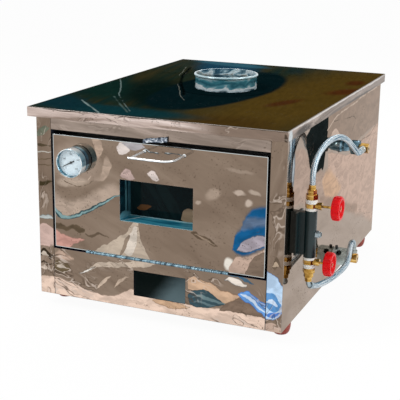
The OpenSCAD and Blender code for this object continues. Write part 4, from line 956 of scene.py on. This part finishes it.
# Painted reflections in the door sheet, brighter round the gauge.
door_patches = [
    (-0.243, 0.352, 0.060, 0.048, 0, 0.5, (0.330, 0.250, 0.195)),
    (-0.253, 0.312, 0.040, 0.010, 8, 0.7, (0.430, 0.340, 0.270)),
    (0.093, 0.321, 0.016, 0.011, 20, 0.9, (0.380, 0.292, 0.228)),
    (0.152, 0.332, 0.012, 0.005, -5, 0.8, (0.490, 0.395, 0.325)),
    (0.174, 0.312, 0.008, 0.007, 30, 0.8, (0.520, 0.425, 0.355)),
    (0.185, 0.335, 0.012, 0.004, -8, 0.8, (0.430, 0.345, 0.280)),
    (0.152, 0.377, 0.027, 0.004, -4, 1.0, (0.330, 0.254, 0.198)),
    (0.060, 0.300, 0.007, 0.004, 0, 0.9, (0.420, 0.335, 0.270)),
    (0.129, 0.169, 0.010, 0.014, 5, 0.6, (0.790, 0.740, 0.660)),
]
door_shapes = [
    (0.001, 0.004, (0.470, 0.352, 0.272), (0.400, 0.300, 0.235), [
        (-0.2000, 0.416, 0.418), (-0.188, 0.376, 0.421), (-0.176, 0.381, 0.415),
        (-0.170, 0.396, 0.398)]),
    (0.002, 0.006, (0.440, 0.335, 0.262), None, [
        (-0.194, 0.323, 0.326), (-0.181, 0.322, 0.336), (-0.169, 0.327, 0.370),
        (-0.160, 0.342, 0.375), (-0.153, 0.358, 0.360)]),
    (0.0005, 0.012, (0.420, 0.325, 0.258), None, [
        (-0.304, 0.236, 0.262), (-0.299, 0.227, 0.280), (-0.278, 0.221, 0.268),
        (-0.243, 0.229, 0.269), (-0.208, 0.246, 0.285), (-0.178, 0.265, 0.305),
        (-0.148, 0.286, 0.317), (-0.131, 0.302, 0.305)]),
    (0.001, 0.001, (0.036, 0.072, 0.082), None, [
        (-0.304, 0.236, 0.250), (-0.296, 0.225, 0.239), (-0.283, 0.219, 0.229),
        (-0.263, 0.219, 0.229), (-0.235, 0.229, 0.240), (-0.200, 0.249, 0.259),
        (-0.165, 0.272, 0.281), (-0.131, 0.297, 0.300)]),
    (0.001, 0.001, (0.220, 0.345, 0.350), None, [
        (-0.300, 0.236, 0.243), (-0.290, 0.224, 0.232), (-0.275, 0.220, 0.227),
        (-0.256, 0.223, 0.229), (-0.230, 0.234, 0.239), (-0.196, 0.254, 0.258),
        (-0.160, 0.277, 0.281), (-0.136, 0.295, 0.297)]),
    (0.001, 0.001, (0.690, 0.610, 0.570), (0.340, 0.270, 0.230), [
        (-0.139, 0.401, 0.402), (-0.133, 0.385, 0.413), (-0.116, 0.388, 0.411),
        (-0.107, 0.395, 0.397)]),
    (0.001, 0.001, (0.400, 0.375, 0.385), None, [
        (-0.128, 0.410, 0.412), (-0.110, 0.400, 0.415), (-0.086, 0.400, 0.417),
        (-0.070, 0.409, 0.410)]),
    (0.001, 0.001, (0.520, 0.385, 0.350), (0.250, 0.180, 0.150), [
        (-0.133, 0.336, 0.338), (-0.123, 0.332, 0.351), (-0.111, 0.332, 0.356),
        (-0.102, 0.333, 0.349), (-0.094, 0.336, 0.338)]),
    (0.001, 0.001, (0.680, 0.590, 0.550), (0.300, 0.230, 0.190), [
        (-0.063, 0.349, 0.351), (-0.055, 0.339, 0.358), (-0.045, 0.333, 0.355),
        (-0.034, 0.338, 0.340)]),
    (0.006, 0.008, (0.009, 0.098, 0.245), (0.040, 0.085, 0.140), [
        (0.139, 0.206, 0.208), (0.145, 0.196, 0.240), (0.160, 0.193, 0.260),
        (0.171, 0.197, 0.284), (0.182, 0.202, 0.298), (0.199, 0.211, 0.305),
        (0.222, 0.220, 0.308)]),
    (0.006, 0.006, (0.110, 0.165, 0.260), None, [
        (0.157, 0.253, 0.256), (0.170, 0.257, 0.277), (0.185, 0.261, 0.283),
        (0.222, 0.268, 0.283)]),
    (0.001, 0.002, (0.390, 0.345, 0.390), (0.060, 0.090, 0.125), [
        (0.148, 0.204, 0.206), (0.160, 0.201, 0.226), (0.179, 0.206, 0.238),
        (0.198, 0.215, 0.244), (0.222, 0.225, 0.244)]),
    (0.001, 0.003, (0.510, 0.370, 0.295), None, [
        (0.131, 0.150, 0.164), (0.142, 0.150, 0.184), (0.161, 0.150, 0.190),
        (0.184, 0.150, 0.200), (0.203, 0.150, 0.209), (0.222, 0.150, 0.216)]),
    (0.001, 0.001, (0.205, 0.148, 0.110), (0.150, 0.105, 0.078), [
        (0.166, 0.150, 0.153), (0.175, 0.150, 0.176), (0.186, 0.150, 0.193),
        (0.203, 0.150, 0.205), (0.222, 0.150, 0.207)]),
    (0.001, 0.002, (0.560, 0.300, 0.250), (0.36, 0.20, 0.16), [
        (-0.304, 0.148, 0.192), (-0.290, 0.148, 0.184), (-0.276, 0.151, 0.181),
        (-0.254, 0.158, 0.177), (-0.226, 0.175, 0.177)]),
    (0.001, 0.001, (0.115, 0.082, 0.052), (0.160, 0.118, 0.080), [
        (-0.304, 0.192, 0.209), (-0.285, 0.192, 0.208), (-0.271, 0.189, 0.200),
        (-0.256, 0.195, 0.206), (-0.240, 0.188, 0.205), (-0.222, 0.193, 0.199)]),
    (0.001, 0.001, (0.140, 0.100, 0.068), None, [
        (-0.222, 0.188, 0.190), (-0.205, 0.183, 0.190), (-0.190, 0.190, 0.196),
        (-0.160, 0.191, 0.193)]),
    (0.001, 0.001, (0.500, 0.410, 0.325), (0.230, 0.172, 0.128), [
        (-0.200, 0.148, 0.152), (-0.180, 0.147, 0.170), (-0.158, 0.147, 0.184),
        (-0.137, 0.147, 0.197), (-0.116, 0.147, 0.209), (-0.099, 0.147, 0.229),
        (-0.086, 0.147, 0.233), (-0.081, 0.147, 0.203), (-0.060, 0.147, 0.160)]),
    (0.001, 0.001, (0.660, 0.580, 0.500), None, [
        (-0.127, 0.166, 0.168), (-0.118, 0.158, 0.192), (-0.105, 0.154, 0.208),
        (-0.096, 0.162, 0.220), (-0.088, 0.190, 0.222)]),
    (0.001, 0.001, (0.270, 0.205, 0.155), None, [
        (-0.134, 0.152, 0.154), (-0.126, 0.158, 0.176), (-0.116, 0.176, 0.197),
        (-0.106, 0.200, 0.204)]),
    (0.001, 0.001, (0.125, 0.088, 0.058), None, [
        (0.040, 0.228, 0.230), (0.052, 0.222, 0.233), (0.064, 0.214, 0.226),
        (0.080, 0.214, 0.222), (0.092, 0.206, 0.217), (0.104, 0.205, 0.207)]),
    (0.001, 0.001, (0.300, 0.225, 0.165), None, [
        (0.052, 0.226, 0.228), (0.066, 0.219, 0.223), (0.088, 0.211, 0.214),
        (0.098, 0.209, 0.210)]),
]
# Painted reflections of the handle's bar and of the gauge's rim in the door.
door_lines = [
    ([(-0.072, 0.404), (-0.057, 0.400), (-0.037, 0.397), (-0.014, 0.399), (0.010, 0.403),
      (0.026, 0.401)], 0.0022, 0.3, (0.080, 0.085, 0.085)),
    ([(-0.072, 0.405), (-0.057, 0.401), (-0.037, 0.398), (-0.014, 0.400), (0.010, 0.404),
      (0.026, 0.402)], 0.0009, 0.6, (0.560, 0.600, 0.600)),
    ([(-0.284, 0.326), (-0.266, 0.316), (-0.243, 0.312), (-0.218, 0.317), (-0.199, 0.331)],
     0.0014, 0.6, (0.500, 0.390, 0.310)),
    ([(-0.284, 0.316), (-0.262, 0.306), (-0.240, 0.303), (-0.214, 0.308), (-0.193, 0.323)],
     0.0011, 0.6, (0.160, 0.115, 0.080)),
]
door_low, door_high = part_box("door_skin")
door_steel = polished("door_steel", "front", taupe_reflection_tones, -25, (0.24, 0.07),
                      panel_waves, door_shapes, door_patches, door_lines, ripple=0.10,
                      rough=0.025, border=(
                          ((door_low.x + door_high.x) / 2, (door_low.z + door_high.z) / 2),
                          ((door_high.x - door_low.x) / 2, (door_high.z - door_low.z) / 2),
                          0.0016, (0.560, 0.600, 0.600)))
# Painted highlight along the door's rounded edges.
edge_light = shadow_steel("edge_light", (0.72, 0.78, 0.80))
door_sheet = eased_copy("door_skin", "door_sheet", 0.0016, 3)
door_fold = dull_steel("door_fold", (0.150, 0.135, 0.125))
dress_faces(door_sheet, {"front": door_steel, "edge": edge_light, "fold": door_fold},
            lambda centre, normal: "front" if centre.y < -0.38165 and normal.y < -0.9
            else "edge" if centre.y < -0.3800 and normal.y < -0.2 else "fold")
dress("door_inner", liner)


# Painted reflections and highlights in the window reveal: dark teal tones with pale lines.
def reveal_finish(name, way, metallic, tones, shapes):
    return polished(name, way, tones, 0, (0.12, 0.012), ((14, 0.006), (60, 0.002)),
                    shapes, rough=0.12, edge_tint=(0.5, 0.5, 0.5), specks=0.2,
                    metallic=metallic, shine=0.1)


reveal_sheet = eased_copy("window_frame", "reveal_sheet", 0.0006)
dress_faces(
    reveal_sheet,
    {"upright": reveal_finish(
        "reveal_upright", "side", 0.6,
        [(0.35, (0.004, 0.032, 0.052)), (0.50, (0.007, 0.055, 0.080)),
         (0.66, (0.016, 0.095, 0.130))], [
            (0.001, 0.001, (0.200, 0.480, 0.560), None, [
                (-0.356, 0.242, 0.332), (-0.352, 0.240, 0.332), (-0.349, 0.240, 0.332),
                (-0.346, 0.242, 0.332)]),
            (0.001, 0.001, (0.120, 0.330, 0.410), (0.260, 0.560, 0.640), [
                (-0.341, 0.244, 0.332), (-0.336, 0.240, 0.332), (-0.331, 0.238, 0.332),
                (-0.328, 0.238, 0.332)]),
            (0.002, 0.003, (0.260, 0.640, 0.760), None, [
                (-0.384, 0.234, 0.246), (-0.360, 0.233, 0.250), (-0.340, 0.233, 0.244),
                (-0.327, 0.233, 0.240)])]),
     "ledge": reveal_finish(
        "reveal_ledge", "top", 0.15,
        [(0.35, (0.010, 0.130, 0.210)), (0.50, (0.022, 0.210, 0.310)),
         (0.66, (0.080, 0.380, 0.480))], [
            (0.001, 0.001, (0.520, 0.820, 0.880), None, [
                (-0.134, -0.334, -0.328), (-0.100, -0.333, -0.328), (0.000, -0.333, -0.327),
                (0.047, -0.333, -0.327)]),
            (0.001, 0.001, (0.420, 0.720, 0.800), None, [
                (-0.134, -0.384, -0.378), (-0.060, -0.384, -0.379), (0.047, -0.384, -0.379)]),
            (0.001, 0.001, (0.700, 0.920, 0.960), None, [
                (-0.131, -0.380, -0.378), (-0.118, -0.364, -0.360), (-0.106, -0.348, -0.342),
                (-0.098, -0.336, -0.333)])]),
     "face": door_steel},
    lambda centre, normal: "upright" if abs(normal.x) > 0.7
    else "ledge" if abs(normal.z) > 0.7 else "face")


def dark_pane(name, reflections):
    """Glass over an unlit chamber: painted nearly black for the shade behind it, with painted sweeps
    of sheen and faint warm painted reflections.
    """
    recipe = new_finish(name)
    place = recipe.node("ShaderNodeTexCoord", output="Object")
    sweep = cloudy(turned(place, (0, 0, 0), (0, math.radians(-35), 0), (0.03, 1, 0.12)), 1, 2)
    colour = tinted(eased(sweep, 0.48, 0.62), (0.0030, 0.009, 0.010), (0.006, 0.016, 0.017))
    if reflections:
        colour = with_shapes(colour, place, "front", reflections)
    return shaded(recipe, {"Base Color": colour, "Roughness": 0.05 + 0.06 * sweep,
                           "Specular IOR Level": 0.05, "Alpha": 0.98})


def clear_glass(name, tone):
    """A thin clear lens: it hardly shows but for its gloss."""
    recipe = new_finish(name)
    place = recipe.node("ShaderNodeTexCoord", output="Object")
    haze = cloudy(place, 40, 3, 0.6)
    return shaded(recipe, {
        "Base Color": tone, "Roughness": 0.02 + 0.05 * eased(haze, 0.5, 0.8),
        "Alpha": 0.03 + 0.03 * eased(haze, 0.5, 0.8), "Specular IOR Level": 0.1})


pane = eased_copy("window_glass", "pane", 0.0004, 1)
# Painted reflections of warm things in the pane's outside.
dress_faces(pane, {"outside": dark_pane("pane_outside", [
    (0.001, 0.001, (0.300, 0.200, 0.125), None, [
        (-0.006, 0.238, 0.241), (-0.002, 0.235, 0.257), (0.010, 0.233, 0.265),
        (0.030, 0.232, 0.262), (0.050, 0.230, 0.258)]),
    (0.001, 0.001, (0.150, 0.060, 0.020), None, [
        (-0.116, 0.250, 0.253), (-0.108, 0.248, 0.260), (-0.092, 0.250, 0.262),
        (-0.080, 0.258, 0.261)])]), "inside": dark_pane("pane_inside", ())},
    lambda centre, normal: "outside" if normal.y < -0.5 else "inside")


def chromed(name, centre, streak, stops, rough=0.05, metallic=1.0):
    """Chrome plate: long streaks of dark blue and white down a round part, painted reflections in
    its colour.
    """
    recipe = new_finish(name)
    place = recipe.node("ShaderNodeTexCoord", output="Object")
    bands = cloudy(turned(place, centre, stretch=streak), 1, 2, 0.5, 0.7)
    colour = recipe.node("ShaderNodeValToRGB", {"stops": stops}, {"Fac": bands})
    return shaded(recipe, {"Base Color": colour, "Metallic": metallic,
                           "Roughness": rough + 0.06 * bands,
                           "Specular Tint": (0.6, 0.6, 0.6)})


def rod_chrome():
    """A polished rod: a painted highlight white along the top, painted shade slate along the
    underside.
    """
    recipe = new_finish("rod_chrome")
    place = recipe.node("ShaderNodeTexCoord", output="Object")
    height = recipe.node("ShaderNodeSeparateXYZ", {}, {"Vector": place}).beside("Z")
    wander = cloudy(place, 60, 2, 0.5)
    level = (height - 0.3975) / 0.005 + 0.5 * (wander - 0.5)
    colour = recipe.node("ShaderNodeValToRGB", {"stops": [
        (0.06, (0.050, 0.070, 0.085)), (0.20, (0.220, 0.255, 0.285)),
        (0.36, (0.640, 0.680, 0.710)), (0.50, (0.950, 0.960, 0.970)),
        (0.92, (0.880, 0.900, 0.910))]}, {"Fac": level})
    return shaded(recipe, {"Base Color": colour, "Metallic": 0.5,
                           "Roughness": 0.06 + 0.08 * wander})


dress("handle", rod_chrome())


def tidy_spin(name, profile, centre, steps=72, corner=30):
    """A turned part: (radius, depth) points spun about the line through centre along Y."""
    shape = bmesh.new()
    corners = [shape.verts.new((centre[0] + radius, centre[1] + depth, centre[2]))
               for radius, depth in profile]
    outline = [shape.edges.new(pair) for pair in zip(corners, corners[1:])]
    bmesh.ops.spin(shape, geom=corners + outline, cent=centre, axis=(0, 1, 0),
                   angle=2 * math.pi, steps=steps, use_merge=True)
    bmesh.ops.remove_doubles(shape, verts=shape.verts, dist=0.00001)
    bmesh.ops.recalc_face_normals(shape, faces=shape.faces)
    return new_piece(name, shape, corner)


gauge_front = (gauge_middle[0], -0.41675, gauge_middle[1])
gauge_body = tidy_spin("gauge_body", [
    (0, 0.130), (0.005, 0.130), (0.005, 0.036), (0.0318, 0.035), (0.0318, 0.0245),
    (0.0310, 0.0235), (0.0310, 0.0225), (0.0322, 0.0215), (0.0328, 0.0200),
    (0.0328, 0.0030), (0.0330, 0.0018), (0.0328, 0.0006), (0.0322, 0.0001),
    (0.0314, 0.0003), (0.0308, 0.0012), (0.0306, 0.0135), (0, 0.0140)], gauge_front)
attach(gauge_body, "door")
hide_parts("gauge_case")
# Painted reflections down the gauge: a silver band with dark blue streaks, a dark teal inner wall
# and a bright bezel; the rear part is in painted shade and the groove gets the painted gap shade.
band_stops = [(0.30, (0.015, 0.080, 0.140)), (0.40, (0.160, 0.330, 0.430)),
              (0.46, (0.560, 0.720, 0.790)), (0.54, (0.960, 0.980, 0.990)),
              (0.74, (0.520, 0.660, 0.720))]
inner_stops = [(0.34, (0.004, 0.045, 0.085)), (0.48, (0.012, 0.110, 0.180)),
               (0.62, (0.080, 0.260, 0.340)), (0.74, (0.500, 0.680, 0.740))]
rear_stops = [(0.34, (0.003, 0.020, 0.045)), (0.45, (0.030, 0.120, 0.190)),
              (0.55, (0.260, 0.430, 0.510)), (0.68, (0.800, 0.880, 0.900))]
bezel_stops = [(0.36, (0.120, 0.250, 0.320)), (0.50, (0.560, 0.680, 0.720)),
               (0.62, (0.900, 0.930, 0.940))]
dress_faces(
    gauge_body,
    {"band": chromed("gauge_band", gauge_front, (0.060, 0.3, 0.030), band_stops, 0.1, 0.15),
     "inner": chromed("gauge_inner", gauge_front, (0.030, 0.3, 0.030), inner_stops, 0.1, 0.4),
     "rear": chromed("gauge_rear", gauge_front, (0.060, 0.3, 0.026), rear_stops, 0.1, 0.15),
     "bezel": chromed("gauge_bezel", gauge_front, (0.018, 0.3, 0.018), bezel_stops, 0.1, 0.5),
     "groove": gap_shade},
    lambda centre, normal: "groove" if 0.0215 < centre.y - gauge_front[1] < 0.0242
    else "rear" if centre.y - gauge_front[1] > 0.0242
    else "bezel" if normal.y < -0.35 and centre.y - gauge_front[1] < 0.0022
    else "inner" if math.hypot(centre.x - gauge_front[0], centre.z - gauge_front[2]) < 0.0312
    else "band")


def plain_paint(name, tone, rough=0.35, grain=300, depth=0.0001, wear=0.25, shine=0.5):
    recipe = new_finish(name)
    place = recipe.node("ShaderNodeTexCoord", output="Object")
    mottle = cloudy(place, grain, 3, 0.6)
    patch = cloudy(place, 24, 3, 0.6)
    worn = tuple(c * (1 - wear) for c in tone)
    return shaded(recipe, {
        "Base Color": tinted(eased(patch, 0.4, 0.7), tone, worn),
        "Specular IOR Level": shine,
        "Roughness": rough + 0.15 * mottle}, mottle, depth)


dress("gauge_dial", plain_paint("dial_enamel", (0.74, 0.86, 0.92), 0.4, wear=0.10))
dress("gauge_pointer", plain_paint("pointer_lacquer", (0.003, 0.004, 0.005), 0.4, shine=0.1))
dress("gauge_lens", clear_glass("gauge_lens", (0.90, 0.97, 1.0)))


def dial_marks():
    """Scale strokes and numbers, printed a hair proud of the dial, facing the front."""
    marks = bmesh.new()
    dial_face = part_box("gauge_dial")[0].y - 0.00012
    centre = Vector((gauge_middle[0], dial_face, gauge_middle[1]))
    for i in range(41):
        lean = math.radians(225 - 270 * i / 40)
        out = Vector((math.cos(lean), 0, math.sin(lean)))
        side = Vector((-out.z, 0, out.x))
        long = i % 10 == 0
        inner, half = (0.0232, 0.00035) if long else (0.0252, 0.00016)
        corners = [marks.verts.new(centre + out * r + side * s)
                   for r, s in ((inner, half), (inner, -half), (0.0272, -half), (0.0272, half))]
        marks.faces.new(corners)
        if long:
            letters = bpy.data.curves.new("number", "FONT")
            letters.body = str(i * 10)
            letters.size = 0.0052
            letters.align_x = "CENTER"
            letters.align_y = "CENTER"
            number = bpy.data.objects.new("number", letters)
            flat = bpy.data.meshes.new_from_object(number)
            flat.transform(Matrix.Translation(centre + out * 0.0188)
                           @ Matrix.Rotation(math.radians(90), 4, "X"))
            marks.from_mesh(flat)
            bpy.data.objects.remove(number)
            bpy.data.curves.remove(letters)
            bpy.data.meshes.remove(flat)
    for face in marks.faces:
        face.normal_update()
        if face.normal.y > 0:
            face.normal_flip()
    return new_piece("dial_marks", marks)


dial_print = dial_marks()
dial_print.data.materials.append(
    plain_paint("dial_ink", (0.020, 0.030, 0.040), 0.5, wear=0.4))
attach(dial_print, "door")
# Painted reflections: dark blue streaks down the hinge.
hinge_steel = chromed("hinge_steel", (0, 0, 0), (0.004, 0.02, 0.05), [
    (0.34, (0.012, 0.030, 0.045)), (0.46, (0.070, 0.130, 0.170)),
    (0.58, (0.180, 0.300, 0.370)), (0.72, (0.340, 0.460, 0.520))], 0.3, 0.5)
for node in ("door_hinge_leaf", "frame_hinge_leaf", "hinge_pin"):
    dress(node, hinge_steel)


def crumpled_catch():
    """The spring catch: a thin zinc strip, dented, its ends curled off the rail."""
    low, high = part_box("door_catch")
    shape = bmesh.new()
    across, up = 30, 10
    rows = []
    for i in range(across + 1):
        u = i / across
        column = []
        for j in range(up + 1):
            v = j / up
            edge = 0.0022 * noise.noise(Vector((u * 8, 3.1 if v > 0.5 else 8.7, 0.4)))
            x = low.x + (high.x - low.x) * (0.02 + 0.96 * u)
            z = low.z - 0.0016 + (0.0075 + 0.0045 * u) * v + edge + 0.0056 * (u - 0.5)
            dent = 0.0010 * noise.noise(Vector((u * 9, v * 4, 1.7)))
            curl = 0.0022 * max(0, abs(2 * u - 1) - 0.7) / 0.3
            column.append(shape.verts.new((x, low.y - 0.0014 + dent - curl, z)))
        rows.append(column)
    for a, b in zip(rows, rows[1:]):
        for j in range(up):
            shape.faces.new((a[j], b[j], b[j + 1], a[j + 1]))
    bmesh.ops.recalc_face_normals(shape, faces=shape.faces)
    bmesh.ops.solidify(shape, geom=shape.faces[:], thickness=0.0010)
    bmesh.ops.recalc_face_normals(shape, faces=shape.faces)
    return new_piece("catch_strip", shape, 50)


catch_strip = crumpled_catch()
# Painted reflections and highlights on the zinc catch.
catch_strip.data.materials.append(chromed(
    "catch_zinc", (0, 0, 0), (0.010, 0.02, 0.006),
    [(0.38, (0.020, 0.030, 0.050)), (0.46, (0.120, 0.150, 0.200)),
     (0.54, (0.340, 0.390, 0.460)), (0.64, (0.800, 0.850, 0.900))], 0.25, 0.4))
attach(catch_strip, "cabinet")
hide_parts("door_catch")


# Gas train
# Black iron manifold pipe on a bracket, brass needle valves and nuts sealed
# with white tape, red moulded handwheels, crimped steel ferrules.

dark_iron = plain_paint("black_iron", (0.003, 0.019, 0.022), 0.28, 500, 0.0002)
dress("manifold_pipe", dark_iron)
dress("manifold_bracket", dark_iron)


def turned_brass():
    recipe = new_finish("turned_brass")
    place = recipe.node("ShaderNodeTexCoord", output="Object")
    mottle = cloudy(place, 60, 3, 0.6, 0.6)
    bands = cloudy(turned(place, stretch=(0.03, 0.03, 0.004)), 1, 3, 0.5)
    colour = recipe.node("ShaderNodeValToRGB", {"stops": [
        (0.34, (0.10, 0.045, 0.010)), (0.46, (0.42, 0.23, 0.045)),
        (0.56, (0.68, 0.42, 0.12)), (0.70, (0.95, 0.74, 0.36))]},
        {"Fac": 0.5 * mottle + 0.5 * bands})
    return shaded(recipe, {"Base Color": colour, "Metallic": 1.0,
                           "Roughness": 0.16 + 0.15 * mottle}, mottle, 0.0002)


brass = turned_brass()
for node in ("upper_valve_body", "lower_valve_body", "hose_nuts",
             "upper_valve_stem", "lower_valve_stem", "upper_jet", "lower_jet"):
    dress(node, brass)


def wound_tape():
    recipe = new_finish("wound_tape")
    place = recipe.node("ShaderNodeTexCoord", output="Object")
    wraps = cloudy(turned(place, stretch=(0.05, 0.05, 0.002)), 1, 3, 0.6)
    stain = cloudy(place, 90, 3, 0.6)
    colour = tinted(eased(stain, 0.55, 0.75) * 0.6, (0.84, 0.84, 0.80), (0.52, 0.36, 0.16))
    return shaded(recipe, {"Base Color": colour, "Roughness": 0.6}, wraps, 0.0004)


dress("thread_tape", wound_tape())
red = plain_paint("wheel_red", (0.70, 0.003, 0.006), 0.22, 200, 0.00005, 0.2, 0.14)
for node, name in (("upper_handwheel", "upper_wheel_cast"), ("lower_handwheel", "lower_wheel_cast")):
    eased_copy(node, name, 0.0014, 3, 25).data.materials.append(red)
crimped = dull_steel("crimped_steel", (0.42, 0.50, 0.54))
dress("hose_ferrules", crimped)
dress("gas_inlet", crimped)


# Burners
# Two cast-iron tube burners, a cast mixing tube above and a galvanised one
# below, each with an air shutter; the lower shutter has a lock screw.

cast_iron = plain_paint("cast_iron", (0.040, 0.038, 0.036), 0.6, 700, 0.0004)
for node in ("upper_burner", "lower_burner", "burner_supports"):
    dress(node, cast_iron)
# The mixer's blue-grey paint, with painted highlights and reflections.
mixer_paint_and_sheen = chromed("mixer_paint_and_sheen", (0.28, 0.03, 0.36), (0.05, 0.02, 0.016), [
    (0.34, (0.012, 0.036, 0.050)), (0.46, (0.075, 0.150, 0.195)),
    (0.56, (0.190, 0.320, 0.400)), (0.68, (0.740, 0.840, 0.890))], 0.22)
dress("upper_mixer", mixer_paint_and_sheen)
dress("upper_shutter", mixer_paint_and_sheen)


def zinc_coated():
    recipe = new_finish("zinc_coat")
    place = recipe.node("ShaderNodeTexCoord", output="Object")
    flakes = recipe.node("ShaderNodeTexVoronoi", {}, {"Vector": place, "Scale": 130}, 1)
    shade = flakes.recipe.node("ShaderNodeSeparateColor", {}, {"Color": flakes})
    colour = tinted(shade, (0.26, 0.31, 0.30), (0.50, 0.56, 0.54))
    return shaded(recipe, {"Base Color": colour, "Metallic": 0.85,
                           "Roughness": 0.35 + 0.15 * shade})


zinc = zinc_coated()
dress("lower_mixer", zinc)
dress("lower_shutter", zinc)
dress("shutter_lock_screw", plain_paint("screw_black", (0.012, 0.012, 0.012), 0.4))


# Flue
# A spun collar with a rolled rim on a round flange, with a butterfly damper
# on a cross spindle.

flue_middle = (-0.0435, 0.02825, 0)
flue_low, flue_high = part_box("flue_collar")


def collar_finish():
    """Painted reflections: outside, teal over a bright foot; inside, pale silver going brown and
    blue.
    """
    recipe = new_finish("collar_steel")
    place = recipe.node("ShaderNodeTexCoord", output="Object")
    radius = vectors("LENGTH", turned(place, flue_middle, stretch=(1, 1, 1000)), output=1)
    height = recipe.node("ShaderNodeSeparateXYZ", {}, {"Vector": place}).beside("Z")
    streaks = cloudy(turned(place, stretch=(0.045, 0.045, 0.020)), 1, 3, 0.5, 0.8)
    level = (height - lid_high.z) / (flue_high.z - lid_high.z) + 0.9 * (streaks - 0.5)
    outside = recipe.node("ShaderNodeValToRGB", {"stops": [
        (0.02, (0.010, 0.040, 0.055)), (0.12, (0.560, 0.700, 0.760)),
        (0.26, (0.860, 0.920, 0.940)), (0.36, (0.110, 0.330, 0.400)),
        (0.56, (0.020, 0.120, 0.170)), (0.74, (0.060, 0.260, 0.320)),
        (0.92, (0.420, 0.560, 0.600))]}, {"Fac": level})
    inside = recipe.node("ShaderNodeValToRGB", {"stops": [
        (0.34, (0.030, 0.090, 0.140)), (0.43, (0.220, 0.330, 0.380)),
        (0.50, (0.800, 0.860, 0.880)), (0.58, (0.360, 0.340, 0.300)),
        (0.70, (0.180, 0.300, 0.330))]}, {"Fac": streaks})
    rim = flue_high.x - flue_middle[0]
    colour = tinted(eased(radius, rim - 0.0042, rim - 0.0034), inside, outside)
    return shaded(recipe, {"Base Color": colour, "Metallic": 0.3,
                           "Roughness": 0.12 + 0.1 * streaks})


dress("flue_collar", collar_finish())
dress("flue_flange", lid_steel)
# Painted reflections in teal on the damper.
dress("flue_damper", chromed("damper_steel", (0, 0, 0.5), (0.07, 0.015, 0.2), [
    (0.34, (0.006, 0.070, 0.100)), (0.48, (0.016, 0.150, 0.205)),
    (0.58, (0.060, 0.260, 0.330)), (0.70, (0.360, 0.620, 0.690))], 0.08))


# Feet
# Four turned feet, brushed with oxide-red primer.

dress("feet", plain_paint("oxide_primer", (0.30, 0.045, 0.030), 0.45, 260, 0.0003))
